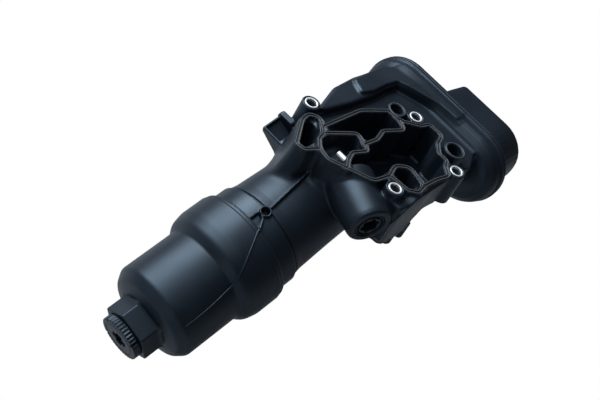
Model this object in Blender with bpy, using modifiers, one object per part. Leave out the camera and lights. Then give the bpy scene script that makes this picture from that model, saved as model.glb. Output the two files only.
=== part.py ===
"""Oil filter housing with a screw-on bowl, bolt-on gasket face and oil cooler shell.

Lengths in the constants are millimetres, and the model is built in metres, +Z up.
The origin is the middle of the four mounting bolts, in the plane of the gasket face.
+Z points out of the gasket face and +X points at the cooler cover.
"""

import math

import bmesh
import bpy
from mathutils import Matrix, Vector

MM = 0.001
CLEARANCE = 0.3
ROUND_STEPS = 40
SMALL_STEPS = 20
ARC_STEP = math.radians(24)

# Bolts and their steel sleeves
BOLTS = ((-33.8, 61.7), (41.9, 11.5), (-36.1, -29.8), (27.9, -43.5))
SLEEVE_R = 6.0
SLEEVE_BORE_R = 4.3
BOSS_R = 8.3
BOSS_LENGTH = 34.0

# Gasket face: walls, groove and gasket
WALL = 4.4
FLOOR_TOP = -34.5
FLOOR_THICKNESS = 3.5
GROOVE_WIDTH = 1.8
GROOVE_DEPTH = 2.2
GASKET_PROUD = 0.3
LOOP = (
    (-62.8, 26.0, 3), (-64.6, 15.5, 7), (-46.0, -16.5, 8), (-29.3, -19.4, 3), (-27.6, -36.0, 6),
    (-20.5, -42.0, 4), (-10.3, -40.0, 3), (4.0, -40.6, 12), (17.5, -43.3, 4), (23.0, -36.0, 3),
    (29.3, -32.5, 3), (29.4, -24.0, 4), (37.5, -16.5, 4), (48.0, -13.0, 5), (47.2, 1.2, 4), (39.0, 2.6, 8),
    (28.5, 11.8, 4), (24.3, 18.0, 4), (23.8, 27.3, 4), (0.5, 38.2, 14), (-43.0, 40.2, 3),
    (-47.5, 35.0, 4), (-55.5, 33.0, 3),
)
INLET_WALL = (
    (-45.2, 37.4, 0), (-38.2, 50.0, 6), (-46.5, 56.8, 8), (-72.5, 42.3, 5), (-74.0, 30.5, 6),
    (-62.8, 25.6, 0),
)
POCKET_WALL = (
    (-47.6, 35.2, 0), (-21.3, 22.4, 4), (-27.0, 5.8, 3), (-40.8, 10.8, 4), (-49.0, 7.6, 4),
    (-56.8, 2.0, 0),
)
RETURN_WALL = ((24.4, 17.6, 0), (21.0, 6.2, 4), (2.0, 14.4, 5), (-10.5, 10.6, 5), (-24.9, 12.0, 0))
LENS_WALL = ((-31.4, -19.6, 0), (-17.0, -14.5, 8), (-7.0, -22.0, 7), (-10.8, -39.6, 0))
INLET_HOLE = ((-48.5, 39.5, 3), (-44.0, 50.5, 5), (-68.5, 40.0, 4), (-70.0, 33.0, 4), (-57.5, 33.5, 3))
LAND_CORNER = (-45.3, 37.0)
LAND_R = 3.6
SMALL_PORT = (32.4, 24.8)
SMALL_PORT_R = 8.2
SMALL_PORT_BORE_R = 5.2
RING_PORT = (45.6, -28.4)
RING_PORT_R = 9.5
RING_PORT_BORE_R = 5.6

# Filter axis: station 0 is the mouth of the housing, stations grow towards the bowl's end
FILTER_TILT = math.radians(19)
MOUTH = (-106.8, 19.7, -77.0)
CHAMBER_R = 33.5
CHAMBER_END = -88.0
TUBE_R = 38.4
TUBE_END_R = 36.4
TUBE_END = -94.0
NECK_R = 39.1
SPIGOT_R = 41.2
SPIGOT_END = 26.0
COLLAR_R = 41.5
COLLAR_START = -4.0
COLLAR_END = -16.5
OUTLET_R = 7.0
OUTLET_BOSS_R = 12.0
OUTLET_END = -108.0

# Bowl
BOWL_WALL = 3.1
BOWL_BIG_R = 45.4
BOWL_SMALL_R = 38.1
BOWL_LIP = 5.0
BOWL_STEP_START = 27.0
BOWL_STEP_END = 41.5
BOWL_SHOULDER = 87.0
BOWL_DOME_END = 100.0
BOWL_SEAL_STATION = 11.0
BOWL_SEAL_R = 1.5
HEX_ACROSS = 36.0
HEX_END = 114.3

# Drain plug
DRAIN_HEAD_R = 18.0
DRAIN_HEAD = 6.0
DRAIN_RIBS = 40
DRAIN_STEM_R = 7.0
DRAIN_STEM = 17.0
DRAIN_SOCKET = 6.0

# Filter element and standpipe
ELEMENT_R = 29.5
ELEMENT_INNER_R = 18.0
ELEMENT_START = -60.0
ELEMENT_END = 72.0
ELEMENT_CAP = 3.0
PLEATS = 40
CORE_R = 17.0
CORE_WALL = 1.8
STANDPIPE_R = 11.0
STANDPIPE_WALL = 2.0
STANDPIPE_END = 40.0

# Relief valve boss on the side of the block
RELIEF_FACE = (-60.4, -37.5, -22.0)
RELIEF_YAW = math.radians(24)
RELIEF_R = 17.0
RELIEF_ROOT_R = 20.0
RELIEF_LENGTH = 44.0
RELIEF_PLUG_R = 11.4
RELIEF_PLUG_LENGTH = 10.0
RELIEF_BORE_R = 9.0
RELIEF_BORE_END = 33.0
PISTON_LENGTH = 12.0
PISTON_STROKE = 4.0

# Steel pin in the middle pocket
PIN_AT = (-38.0, 19.0, -10.0)
PIN_R = 2.2
PIN_LENGTH = 10.0

# Cooler shell, flange and cover
SHELL_CENTRE = (9.2, -35.0)
SHELL_STRAIGHT = 39.0
FLANGE_R = 35.0
FLANGE_START = 89.3
PARTING = 92.6
FLANGE_END = 96.6
SHELL_BOTTOM = 75.0
SHELL_WALL = 3.0
BOX_END = 128.0
BOX_FACES = (24.0, -57.0, -6.0, -64.0)
BOX_ROUND = 27.0
BOX_CORNER = 4.0
BOX_DRAFT = 5.0
CORE_PLATES = 8
CORE_PLATE = 1.8
CORE_PITCH = 5.0
CORE_COLUMNS = ((-28.4, -27.0), (3.0, -27.0))
COLUMN_R = 8.0
SEAL_R = 1.6


def clear_scene():
    """Remove every object that is already in the file."""
    for item in list(bpy.data.objects):
        bpy.data.objects.remove(item, do_unlink=True)


def collection(name):
    """Return a collection linked to the scene, made when it is missing."""
    group = bpy.data.collections.get(name)
    if group is None:
        group = bpy.data.collections.new(name)
        bpy.context.scene.collection.children.link(group)
    return group


def material(name, color, roughness, metallic=0.0):
    """Return a Principled material of its own for one piece."""
    made = bpy.data.materials.new(name)
    made.use_nodes = True
    shader = made.node_tree.nodes["Principled BSDF"]
    shader.inputs["Base Color"].default_value = (*color, 1.0)
    shader.inputs["Roughness"].default_value = roughness
    shader.inputs["Metallic"].default_value = metallic
    return made


def add(name, mesh, frame=None):
    """Put a mesh in the part's collection as an object standing in a frame."""
    item = bpy.data.objects.new(name, mesh)
    collection("oil_filter_housing").objects.link(item)
    if frame is not None:
        item.matrix_world = frame
    return item


def frame_at(origin, z_axis, x_axis):
    """Return the frame with the given origin (mm), Z axis and rough X axis."""
    z = Vector(z_axis).normalized()
    y = z.cross(Vector(x_axis)).normalized()
    x = y.cross(z)
    frame = Matrix((x, y, z)).transposed().to_4x4()
    frame.translation = Vector(origin) * MM
    return frame


def mesh_from(name, points, faces):
    """Return a mesh from points in mm and faces, with outward normals."""
    mesh = bpy.data.meshes.new(name)
    mesh.from_pydata([Vector(point) * MM for point in points], [], faces)
    work = bmesh.new()
    work.from_mesh(mesh)
    bmesh.ops.recalc_face_normals(work, faces=work.faces[:])
    work.to_mesh(mesh)
    work.free()
    return mesh


def turned(name, profile, frame=None, steps=ROUND_STEPS):
    """Turn a profile of (radius, height) about Z; off the axis it is closed as a ring."""
    mesh = bpy.data.meshes.new(name)
    edges = [(i, i + 1) for i in range(len(profile) - 1)]
    if profile[0][0] > 0:
        edges.append((len(profile) - 1, 0))
    mesh.from_pydata([(r * MM, 0, z * MM) for r, z in profile], edges, [])
    item = add(name, mesh, frame)
    screw = item.modifiers.new("Turn", "SCREW")
    screw.axis = "Z"
    screw.steps = steps
    screw.render_steps = steps
    screw.use_merge_vertices = True
    screw.merge_threshold = 0.00001
    return item


def rod(name, radius, low, high, frame=None, steps=SMALL_STEPS):
    """Make a plain cylinder along the frame's Z."""
    mesh = bpy.data.meshes.new(name)
    work = bmesh.new()
    bmesh.ops.create_cone(
        work,
        cap_ends=True,
        segments=steps,
        radius1=radius * MM,
        radius2=radius * MM,
        depth=(high - low) * MM,
    )
    bmesh.ops.translate(work, verts=work.verts[:], vec=(0, 0, (low + high) / 2 * MM))
    work.to_mesh(mesh)
    work.free()
    return add(name, mesh, frame)


def half_step(frame, steps=SMALL_STEPS):
    """Turn a frame by half a step, so that a bore's edges miss those of its boss."""
    return frame @ Matrix.Rotation(math.pi / steps, 4, "Z")


def ring_profile(outer, inner, low, high):
    """Profile of a plain ring, down the outer side and up the inner one."""
    return ((outer, high), (outer, low), (inner, low), (inner, high))


def seal_profile(radius, section, height, sides=6):
    """Profile of an o-ring, down its outer side and up the inner one."""
    turns = [math.pi / 2 - math.tau * k / sides for k in range(sides)]
    return [(radius + section * math.cos(t), height + section * math.sin(t)) for t in turns]


def rounded(corners, closed=True):
    """Return the polyline through (x, y, radius) corners with arcs at the corners."""
    points = []
    count = len(corners)
    for i, (x, y, radius) in enumerate(corners):
        here = Vector((x, y))
        if radius == 0 or (not closed and i in (0, count - 1)):
            points.append(here)
            continue
        before = Vector(corners[i - 1][:2]) - here
        after = Vector(corners[(i + 1) % count][:2]) - here
        turn = math.pi - before.angle(after)
        slope = math.tan(turn / 2)
        reach = min(radius * slope, 0.48 * before.length, 0.48 * after.length)
        start = here + before.normalized() * reach
        middle = (before.normalized() + after.normalized()).normalized()
        centre = here + middle * (reach / slope / math.cos(turn / 2))
        side = 1 if before.cross(after) < 0 else -1
        steps = max(1, math.ceil(turn / ARC_STEP))
        for k in range(steps + 1):
            spin = Matrix.Rotation(side * turn * k / steps, 2)
            points.append(centre + spin @ (start - centre))
    return points


def ribbon(name, path, closed, low, high, width, frame=None):
    """Stand a wall of the given width along a path, from low to high."""
    count = len(path)
    points = [(x, y, low) for x, y in path] + [(x, y, high) for x, y in path]
    ends = count if closed else count - 1
    faces = [(i, (i + 1) % count, (i + 1) % count + count, i + count) for i in range(ends)]
    item = add(name, mesh_from(name, points, faces), frame)
    solid = item.modifiers.new("Wall", "SOLIDIFY")
    solid.thickness = width * MM
    solid.offset = 0.0
    solid.use_even_offset = True
    return item


def plate(name, outline, low, high, frame=None):
    """Make a flat plate of an outline, from low to high."""
    curve = bpy.data.curves.new(name, "CURVE")
    curve.dimensions = "2D"
    curve.fill_mode = "BOTH"
    curve.extrude = (high - low) / 2 * MM
    spline = curve.splines.new("POLY")
    spline.points.add(len(outline) - 1)
    for point, (x, y) in zip(spline.points, outline):
        point.co = (x * MM, y * MM, 0, 1)
    spline.use_cyclic_u = True
    item = add(name, curve_mesh(name, curve, (low + high) / 2), frame)
    return item


def curve_mesh(name, curve, lift=0.0):
    """Turn a curve into a closed mesh, lifted by some mm, and remove the curve."""
    holder = bpy.data.objects.new(name + "_curve", curve)
    bpy.context.scene.collection.objects.link(holder)
    graph = bpy.context.evaluated_depsgraph_get()
    mesh = bpy.data.meshes.new_from_object(holder.evaluated_get(graph))
    bpy.data.objects.remove(holder, do_unlink=True)
    mesh.name = name
    mesh.materials.clear()
    work = bmesh.new()
    work.from_mesh(mesh)
    bmesh.ops.remove_doubles(work, verts=work.verts[:], dist=0.000001)
    bmesh.ops.recalc_face_normals(work, faces=work.faces[:])
    bmesh.ops.translate(work, verts=work.verts[:], vec=(0, 0, lift * MM))
    work.to_mesh(mesh)
    work.free()
    return mesh


def block(name, low, high, frame=None):
    """Make a box between two corners."""
    mesh = bpy.data.meshes.new(name)
    work = bmesh.new()
    bmesh.ops.create_cube(work, size=1.0)
    for vertex in work.verts:
        for axis in range(3):
            middle = (low[axis] + high[axis]) / 2
            size = high[axis] - low[axis]
            vertex.co[axis] = (middle + vertex.co[axis] * size) * MM
    work.to_mesh(mesh)
    work.free()
    return add(name, mesh, frame)


def loft(name, rings, frame=None):
    """Join rings of equal count, each (outline, height), and close both ends."""
    count = len(rings[0][0])
    points = [(x, y, height) for outline, height in rings for x, y in outline]
    faces = [tuple(range(count)), tuple(range(len(points) - count, len(points)))]
    for k in range(len(rings) - 1):
        for i in range(count):
            j = (i + 1) % count
            faces.append((k * count + i, k * count + j, k * count + count + j, k * count + count + i))
    return add(name, mesh_from(name, points, faces), frame)


def stadium(radius, centre=SHELL_CENTRE, straight=SHELL_STRAIGHT, steps=16):
    """Outline of a stadium, long along its first axis."""
    points = []
    for side in (1, -1):
        for k in range(steps + 1):
            turn = side * math.pi / 2 - math.pi * k / steps
            x = centre[0] + side * straight + radius * math.cos(turn)
            points.append((x, centre[1] + radius * math.sin(turn)))
    return points


def spring(name, radius, wire, low, high, turns, frame, sides=10):
    """Wind a wire spring with its first and last turns closed."""
    curve = bpy.data.curves.new(name, "CURVE")
    curve.dimensions = "3D"
    curve.bevel_depth = wire / 2 * MM
    curve.bevel_resolution = 1
    curve.use_fill_caps = True
    spline = curve.splines.new("POLY")
    count = int(turns * sides)
    spline.points.add(count)
    for k in range(count + 1):
        turn = math.tau * k / sides
        share = min(max((k - sides) / (count - 2 * sides), 0.0), 1.0)
        closed = (min(k, sides) + max(k - count + sides, 0)) * wire / sides
        rise = low + wire / 2 + (high - low - 3 * wire) * share + closed
        x = radius * math.cos(turn)
        y = radius * math.sin(turn)
        spline.points[k].co = (x * MM, y * MM, rise * MM, 1)
    return add(name, curve_mesh(name, curve), frame)


def combine(target, tool, operation):
    """Join or cut the target with a tool, and put the tool away."""
    change = target.modifiers.new(tool.name, "BOOLEAN")
    change.operation = operation
    change.solver = "EXACT"
    change.object = tool
    collection("oil_filter_housing").objects.unlink(tool)
    collection("tools").objects.link(tool)
    tool.hide_render = True
    tool.display_type = "WIRE"


def join(target, *tools):
    for tool in tools:
        combine(target, tool, "UNION")


def cut(target, *tools):
    for tool in tools:
        combine(target, tool, "DIFFERENCE")


def bevel(item, width, segments=2, angle=40):
    """Round the sharp edges of a piece."""
    change = item.modifiers.new("Round", "BEVEL")
    change.width = width * MM
    change.segments = segments
    change.limit_method = "ANGLE"
    change.angle_limit = math.radians(angle)


def finish(item, made):
    """Give a piece its material and smooth shading."""
    item.data.materials.clear()
    item.data.materials.append(made)
    for face in item.data.polygons:
        face.use_smooth = True
    item.data.set_sharp_from_angle(angle=math.radians(30))


WORLD_X = (1, 0, 0)
WORLD_Z = (0, 0, 1)
FILTER_OUT = Vector((-math.cos(FILTER_TILT), 0, -math.sin(FILTER_TILT)))
FILTER_UP = Vector((-math.sin(FILTER_TILT), 0, math.cos(FILTER_TILT)))
FILTER = frame_at(MOUTH, FILTER_OUT, FILTER_UP)
RELIEF_OUT = Vector((-math.sin(RELIEF_YAW), -math.cos(RELIEF_YAW), 0))
RELIEF = frame_at(RELIEF_FACE, RELIEF_OUT, WORLD_Z)
PIN = frame_at(PIN_AT, (0, 1, 0), WORLD_Z)
SHELL = Matrix(((0, 0, 1, 0), (1, 0, 0, 0), (0, 1, 0, 0), (0, 0, 0, 1)))


def at(x, y, z=0.0):
    """Frame at a point, with world axes."""
    return Matrix.Translation(Vector((x, y, z)) * MM)


# Housing: walls of the gasket face and the floor of the block
clear_scene()
housing = ribbon("housing", rounded(LOOP), True, FLOOR_TOP - 1, 2, WALL)
floor_outline = rounded([(x, y, radius + 1.3) for x, y, radius in LOOP])
floor = plate("floor", floor_outline, FLOOR_TOP - FLOOR_THICKNESS, FLOOR_TOP)
join(housing, floor)
for name, corners, top in (
    ("inlet_wall", INLET_WALL, 3),
    ("pocket_wall", POCKET_WALL, 4),
    ("return_wall", RETURN_WALL, 5),
    ("lens_wall", LENS_WALL, 6),
):
    path = rounded(corners, False)
    join(housing, ribbon(name, path, False, FLOOR_TOP - top / 2, top, WALL))
for i, (x, y) in enumerate(BOLTS):
    join(housing, rod(f"boss_{i + 1}", BOSS_R, -BOSS_LENGTH - i / 4, 7 + i / 4, at(x, y)))
join(
    housing,
    rod("small_port", SMALL_PORT_R, FLOOR_TOP - 2.2, 8.2, at(*SMALL_PORT)),
    rod("ring_port", RING_PORT_R, FLOOR_TOP - 2.4, 8.4, at(*RING_PORT)),
    rod("land", LAND_R, -14, 8.6, at(*LAND_CORNER)),
)

# Housing: shoulder beside the face, land round the ports and the cooler shell
shoulder = plate(
    "shoulder",
    rounded((
        (-28, 57.5, 2), (3.5, 67, 20), (27, 68, 20), (52, 66, 14), (84, 50, 6), (86, -8, 10),
        (74, 0, 8), (66, 24, 12), (52, 45.5, 10), (4, 49, 10), (-26, 54, 2),
    )),
    -44,
    -3.5,
)
bevel(shoulder, 4.0)
lower_land = plate(
    "lower_land",
    rounded((
        (-27, 39.8, 1), (-27, 54, 1), (77, 58, 4), (77, -34, 8), (58, -44, 8), (42, -40, 6),
        (38, -30, 3), (48.5, -13.5, 3), (47.6, 1, 3), (28.5, 12.2, 3), (24.4, 18, 2),
        (24, 27.2, 2), (0.5, 38.4, 2),
    )),
    -46,
    -9,
)
shell = loft(
    "shell",
    (
        (stadium(20), SHELL_BOTTOM), (stadium(24), SHELL_BOTTOM + 1.5),
        (stadium(29.5), SHELL_BOTTOM + 7.5), (stadium(33), FLANGE_START - 1),
        (stadium(33.6), FLANGE_START + 1),
    ),
    SHELL,
)
flange = loft(
    "flange",
    ((stadium(FLANGE_R), FLANGE_START), (stadium(FLANGE_R), PARTING - CLEARANCE / 2)),
    SHELL,
)
join(housing, shoulder, lower_land, shell, flange)

# Housing: filter tube with collar and spigot, outlet boss and relief boss
seal_bed = SPIGOT_R + (BOWL_BIG_R - BOWL_WALL - SPIGOT_R) - CLEARANCE
seal_bed -= 2 * BOWL_SEAL_R + CLEARANCE
tube = turned(
    "tube",
    (
        (0, SPIGOT_END), (SPIGOT_R - 1, SPIGOT_END), (SPIGOT_R, SPIGOT_END - 1),
        (SPIGOT_R, BOWL_SEAL_STATION + BOWL_SEAL_R + CLEARANCE),
        (seal_bed, BOWL_SEAL_STATION + BOWL_SEAL_R + CLEARANCE),
        (seal_bed, BOWL_SEAL_STATION - BOWL_SEAL_R - CLEARANCE),
        (SPIGOT_R, BOWL_SEAL_STATION - BOWL_SEAL_R - CLEARANCE),
        (SPIGOT_R, 0.5), (NECK_R, -0.5), (NECK_R, COLLAR_START), (COLLAR_R - 1, COLLAR_START - 0.4),
        (COLLAR_R, COLLAR_START - 1.6), (COLLAR_R, COLLAR_END + 3.5),
        (COLLAR_R - 1.5, COLLAR_END + 1), (TUBE_R - 0.3, COLLAR_END), (TUBE_R, COLLAR_END - 3),
        (TUBE_R - 0.9, -50), (TUBE_END_R, TUBE_END + 9), (TUBE_END_R - 2.6, TUBE_END + 2.6),
        (TUBE_END_R - 9, TUBE_END), (0, TUBE_END),
    ),
    FILTER,
)
outlet = turned(
    "outlet",
    (
        (0, TUBE_END + 1), (OUTLET_BOSS_R, TUBE_END + 1), (OUTLET_BOSS_R, OUTLET_END + 4),
        (OUTLET_BOSS_R - 4, OUTLET_END), (0, OUTLET_END),
    ),
    half_step(FILTER, ROUND_STEPS),
    SMALL_STEPS,
)
relief_boss = turned(
    "relief_boss",
    (
        (0, 0), (RELIEF_R - 2.5, 0), (RELIEF_R - 0.6, -0.9), (RELIEF_R, -2.6),
        (RELIEF_ROOT_R, -RELIEF_LENGTH), (0, -RELIEF_LENGTH),
    ),
    RELIEF,
)
join(housing, tube, outlet, relief_boss)
pillar = rod("pillar", BOSS_R - 0.4, -47, -10, at(BOLTS[2][0] + 1, BOLTS[2][1] - 1))
side_wall = plate(
    "side_wall",
    ((-34, -50), (-6, -50), (20, -33), (27, -30), (27, -3), (-34, -3)),
    -1.6,
    1.8,
    frame_at((0, -43.0, 0), (0, -1, 0), WORLD_X),
)
lug_1 = rod("lug_1", 5.0, -58, -40, at(-30, -38))
lug_2 = rod("lug_2", 3.6, -54, -40, at(-12, -41.5))
join(housing, pillar, side_wall, lug_1, lug_2)

# Housing: ear beside the first boss, rib on the tube and eyelet on the collar
ear = block("ear", (9, 30, -87), (21, 59, -65), FILTER)
bevel(ear, 2.5)
rib = block("rib", (TUBE_R - 3, 0.2, -60), (TUBE_R + 2.2, 2.4, COLLAR_END + 5), FILTER)
eyelet_turn = math.radians(-4)
eyelet_out = FILTER_UP * math.cos(eyelet_turn) + Vector((0, 1, 0)) * math.sin(eyelet_turn)
eyelet = Matrix.Translation(FILTER_OUT * -8.0 * MM) @ frame_at(MOUTH, eyelet_out, FILTER_OUT)
join(housing, ear, rib, rod("eyelet_ring", 4.5, COLLAR_R - 4, COLLAR_R + 2.4, eyelet))

# Housing: cuts
cut(housing, block("face_cut", (-90, -70, 0), (70, 90, 12)))
chamber = turned(
    "chamber",
    (
        (0, SPIGOT_END + 4), (CHAMBER_R, SPIGOT_END + 4), (CHAMBER_R, CHAMBER_END + 5),
        (CHAMBER_R - 1.5, CHAMBER_END + 1.5), (CHAMBER_R - 5, CHAMBER_END), (0, CHAMBER_END),
    ),
    half_step(FILTER, ROUND_STEPS),
)
cut(housing, chamber, plate("inlet_hole", rounded(INLET_HOLE), -46, 5))
for i, (x, y) in enumerate(BOLTS):
    cut(housing, rod(f"bolt_hole_{i + 1}", SLEEVE_R + CLEARANCE, -70, 9, half_step(at(x, y))))
cut(
    housing,
    rod("small_bore", SMALL_PORT_BORE_R, -30, 9, half_step(at(*SMALL_PORT))),
    rod("ring_bore", RING_PORT_BORE_R, -32, 9, half_step(at(*RING_PORT))),
    rod("outlet_bore", OUTLET_R, OUTLET_END + 5, CHAMBER_END + 4, half_step(FILTER)),
    rod("outlet_rise", OUTLET_R - 0.5, -46, -20, at(-7, 19.7)),
    rod("eyelet_hole", 2.9, COLLAR_R - 1.6, COLLAR_R + 6, half_step(eyelet)),
    block("ear_pocket", (13, 28, -82), (25, 56.5, -67.5), FILTER),
)
relief_bore = turned(
    "relief_bore",
    (
        (0, 2), (RELIEF_PLUG_R + CLEARANCE, 2), (RELIEF_PLUG_R + CLEARANCE, -3.3),
        (RELIEF_PLUG_R - 1.2, -3.3), (RELIEF_PLUG_R - 1.2, -RELIEF_PLUG_LENGTH - 1),
        (RELIEF_BORE_R + CLEARANCE, -RELIEF_PLUG_LENGTH - 1.5),
        (RELIEF_BORE_R + CLEARANCE, -RELIEF_BORE_END), (4.5, -RELIEF_BORE_END), (4.5, -50), (0, -50),
    ),
    half_step(RELIEF, 32),
    32,
)
cooler_room = loft(
    "cooler_room",
    (
        (stadium(19), SHELL_BOTTOM + SHELL_WALL), (stadium(26), SHELL_BOTTOM + 8),
        (stadium(29.6), FLANGE_START - 1), (stadium(30.4), FLANGE_END),
    ),
    SHELL,
)
pin_hole = rod("pin_hole", PIN_R + CLEARANCE, -PIN_LENGTH - CLEARANCE, 1, PIN)
cut(housing, relief_bore, cooler_room, pin_hole)
for i, (y, z) in enumerate(CORE_COLUMNS):
    way_frame = frame_at((0, y, z), WORLD_X, WORLD_Z)
    cut(housing, rod(f"cooler_way_{i}", 4.6, 40 + i, 84, way_frame))
groove_top = 3.0
cut(housing, ribbon("groove", rounded(LOOP), True, -GROOVE_DEPTH, groove_top, GROOVE_WIDTH))
for name, corners in (
    ("inlet", INLET_WALL), ("pocket", POCKET_WALL), ("return", RETURN_WALL), ("lens", LENS_WALL),
):
    path = rounded(corners, False)
    groove_top += 1.0
    cut(housing, ribbon(name + "_groove", path, False, -GROOVE_DEPTH, groove_top, GROOVE_WIDTH))
PLASTIC = (0.018, 0.022, 0.028)
finish(housing, material("housing_plastic", PLASTIC, 0.42))

# Face gasket in the groove
strip = GROOVE_WIDTH - 2 * CLEARANCE
strip_low = -GROOVE_DEPTH + CLEARANCE
gasket = ribbon("face_gasket", rounded(LOOP), True, strip_low, GASKET_PROUD, strip)
for name, corners in (
    ("inlet", INLET_WALL), ("pocket", POCKET_WALL), ("return", RETURN_WALL), ("lens", LENS_WALL),
):
    path = rounded(corners, False)
    join(gasket, ribbon(name + "_strip", path, False, strip_low, GASKET_PROUD, strip))
finish(gasket, material("gasket_rubber", (0.03, 0.035, 0.04), 0.6))

# Steel sleeves in the bolt holes
for i, (x, y) in enumerate(BOLTS):
    sleeve = turned(
        f"bolt_sleeve_{i + 1}",
        (
            (SLEEVE_R - 0.5, 0.1), (SLEEVE_R, -0.4), (SLEEVE_R, -BOSS_LENGTH),
            (SLEEVE_BORE_R, -BOSS_LENGTH), (SLEEVE_BORE_R, 0.1),
        ),
        at(x, y),
        32,
    )
    finish(sleeve, material(f"sleeve_steel_{i + 1}", (0.75, 0.76, 0.78), 0.3, 1.0))

# Bowl, drawn in the filter frame
inner_big = BOWL_BIG_R - BOWL_WALL
inner_small = BOWL_SMALL_R - BOWL_WALL
step = (BOWL_STEP_END - BOWL_STEP_START) / 5
drop = BOWL_BIG_R - BOWL_SMALL_R
bowl = turned(
    "filter_bowl",
    (
        (8.3, BOWL_DOME_END), (27, BOWL_DOME_END - 1.2), (33.6, BOWL_DOME_END - 4.2),
        (37, BOWL_SHOULDER + 4.2), (BOWL_SMALL_R, BOWL_SHOULDER),
        (BOWL_SMALL_R, BOWL_STEP_END), (BOWL_SMALL_R + drop * 0.12, BOWL_STEP_END - step),
        (BOWL_SMALL_R + drop * 0.5, BOWL_STEP_START + step * 2.4),
        (BOWL_SMALL_R + drop * 0.88, BOWL_STEP_START + step),
        (BOWL_BIG_R, BOWL_STEP_START - 1), (BOWL_BIG_R, BOWL_LIP + 0.8),
        (BOWL_BIG_R - 0.8, BOWL_LIP), (inner_big, BOWL_LIP), (inner_big, BOWL_STEP_START),
        (inner_small + drop * 0.88, BOWL_STEP_START + step * 0.7),
        (inner_small + drop * 0.5, BOWL_STEP_START + step * 2),
        (inner_small + drop * 0.12, BOWL_STEP_END - step * 1.4),
        (inner_small, BOWL_STEP_END - 1), (inner_small, BOWL_SHOULDER - 1),
        (32, BOWL_SHOULDER + 5), (24, BOWL_DOME_END - BOWL_WALL - 1),
        (8.3, BOWL_DOME_END - BOWL_WALL),
    ),
    FILTER,
)
hex_round = HEX_ACROSS / 2 / math.cos(math.pi / 6)
hex_turns = [math.tau * (k + 0.5) / 6 for k in range(6)]
hex_outline = [(hex_round * math.cos(t), hex_round * math.sin(t)) for t in hex_turns]
hexagon = plate("hexagon", hex_outline, BOWL_DOME_END - 2.5, HEX_END, FILTER)
bevel(hexagon, 0.8, 1)
join(bowl, hexagon)
cut(bowl, rod("drain_hole", DRAIN_STEM_R + CLEARANCE, 80, HEX_END + 4, half_step(FILTER)))
finish(bowl, material("bowl_plastic", PLASTIC, 0.42))
bowl_seal = turned(
    "bowl_o_ring",
    seal_profile(inner_big - CLEARANCE - BOWL_SEAL_R, BOWL_SEAL_R, BOWL_SEAL_STATION),
    FILTER,
)
finish(bowl_seal, material("bowl_rubber", (0.02, 0.02, 0.02), 0.7))

# Drain plug
drain_start = HEX_END + CLEARANCE
knurl = []
for k in range(DRAIN_RIBS * 2):
    reach = DRAIN_HEAD_R if k % 2 else DRAIN_HEAD_R - 0.8
    turn = math.tau * k / (DRAIN_RIBS * 2)
    knurl.append((reach * math.cos(turn), reach * math.sin(turn)))
drain = plate("drain_plug", knurl, drain_start, drain_start + DRAIN_HEAD, FILTER)
stem = turned(
    "stem",
    (
        (0, drain_start + 1), (DRAIN_STEM_R, drain_start + 1), (DRAIN_STEM_R, drain_start - 6.2),
        (DRAIN_STEM_R - 2, drain_start - 6.2), (DRAIN_STEM_R - 2, drain_start - 9.2),
        (DRAIN_STEM_R, drain_start - 9.2), (DRAIN_STEM_R, drain_start - DRAIN_STEM + 1),
        (DRAIN_STEM_R - 1, drain_start - DRAIN_STEM), (0, drain_start - DRAIN_STEM),
    ),
    FILTER,
    SMALL_STEPS,
)
join(drain, stem)
top = drain_start + DRAIN_HEAD
for i in range(2):
    arm = block(f"socket_{i}", (-6.5, -2.8, top - 5 - i / 4), (6.5, 2.8, top + 2 + i), FILTER)
    arm.matrix_world = FILTER @ Matrix.Rotation(math.pi / 2 * i, 4, "Z")
    cut(drain, arm)
finish(drain, material("drain_plastic", PLASTIC, 0.42))
drain_seal = turned(
    "drain_plug_seal",
    seal_profile(DRAIN_STEM_R - 0.95, 1.05, drain_start - 7.7),
    FILTER,
    SMALL_STEPS,
)
finish(drain_seal, material("drain_rubber", (0.02, 0.02, 0.02), 0.7))

# Filter element
pleats = []
for k in range(PLEATS * 2):
    reach = ELEMENT_R - 0.8 if k % 2 else ELEMENT_INNER_R + 0.8
    turn = math.tau * k / (PLEATS * 2)
    pleats.append((reach * math.cos(turn), reach * math.sin(turn)))
cap_low = ELEMENT_START + ELEMENT_CAP
cap_high = ELEMENT_END - ELEMENT_CAP
media = ribbon("filter_media", pleats, True, cap_low + CLEARANCE, cap_high - CLEARANCE, 0.6, FILTER)
finish(media, material("media_paper", (0.8, 0.68, 0.42), 0.9))
for name, low, inner in (
    ("element_top_cap", ELEMENT_START, STANDPIPE_R + CLEARANCE),
    ("element_bottom_cap", cap_high, 6.0),
):
    cap = turned(name, ring_profile(ELEMENT_R + 1, inner, low, low + ELEMENT_CAP), FILTER)
    finish(cap, material(name + "_plastic", (0.1, 0.1, 0.1), 0.5))
core = turned(
    "element_core",
    ring_profile(CORE_R, CORE_R - CORE_WALL, cap_low + CLEARANCE, cap_high - CLEARANCE),
    FILTER,
    SMALL_STEPS,
)
windows = bpy.data.meshes.new("windows")
work = bmesh.new()
for k in range(10):
    height = ELEMENT_START + 14 + k * 11
    made = bmesh.ops.create_cube(work, size=1.0)
    shape = Matrix.Translation((0, 0, height * MM)) @ Matrix.Rotation(math.radians(60 * k), 4, "Z")
    shape = shape @ Matrix.Diagonal((50 * MM, 9 * MM, 8 * MM, 1))
    bmesh.ops.transform(work, matrix=shape, verts=made["verts"])
work.to_mesh(windows)
work.free()
cut(core, add("windows", windows, FILTER))
finish(core, material("core_plastic", (0.6, 0.6, 0.58), 0.5))

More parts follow.
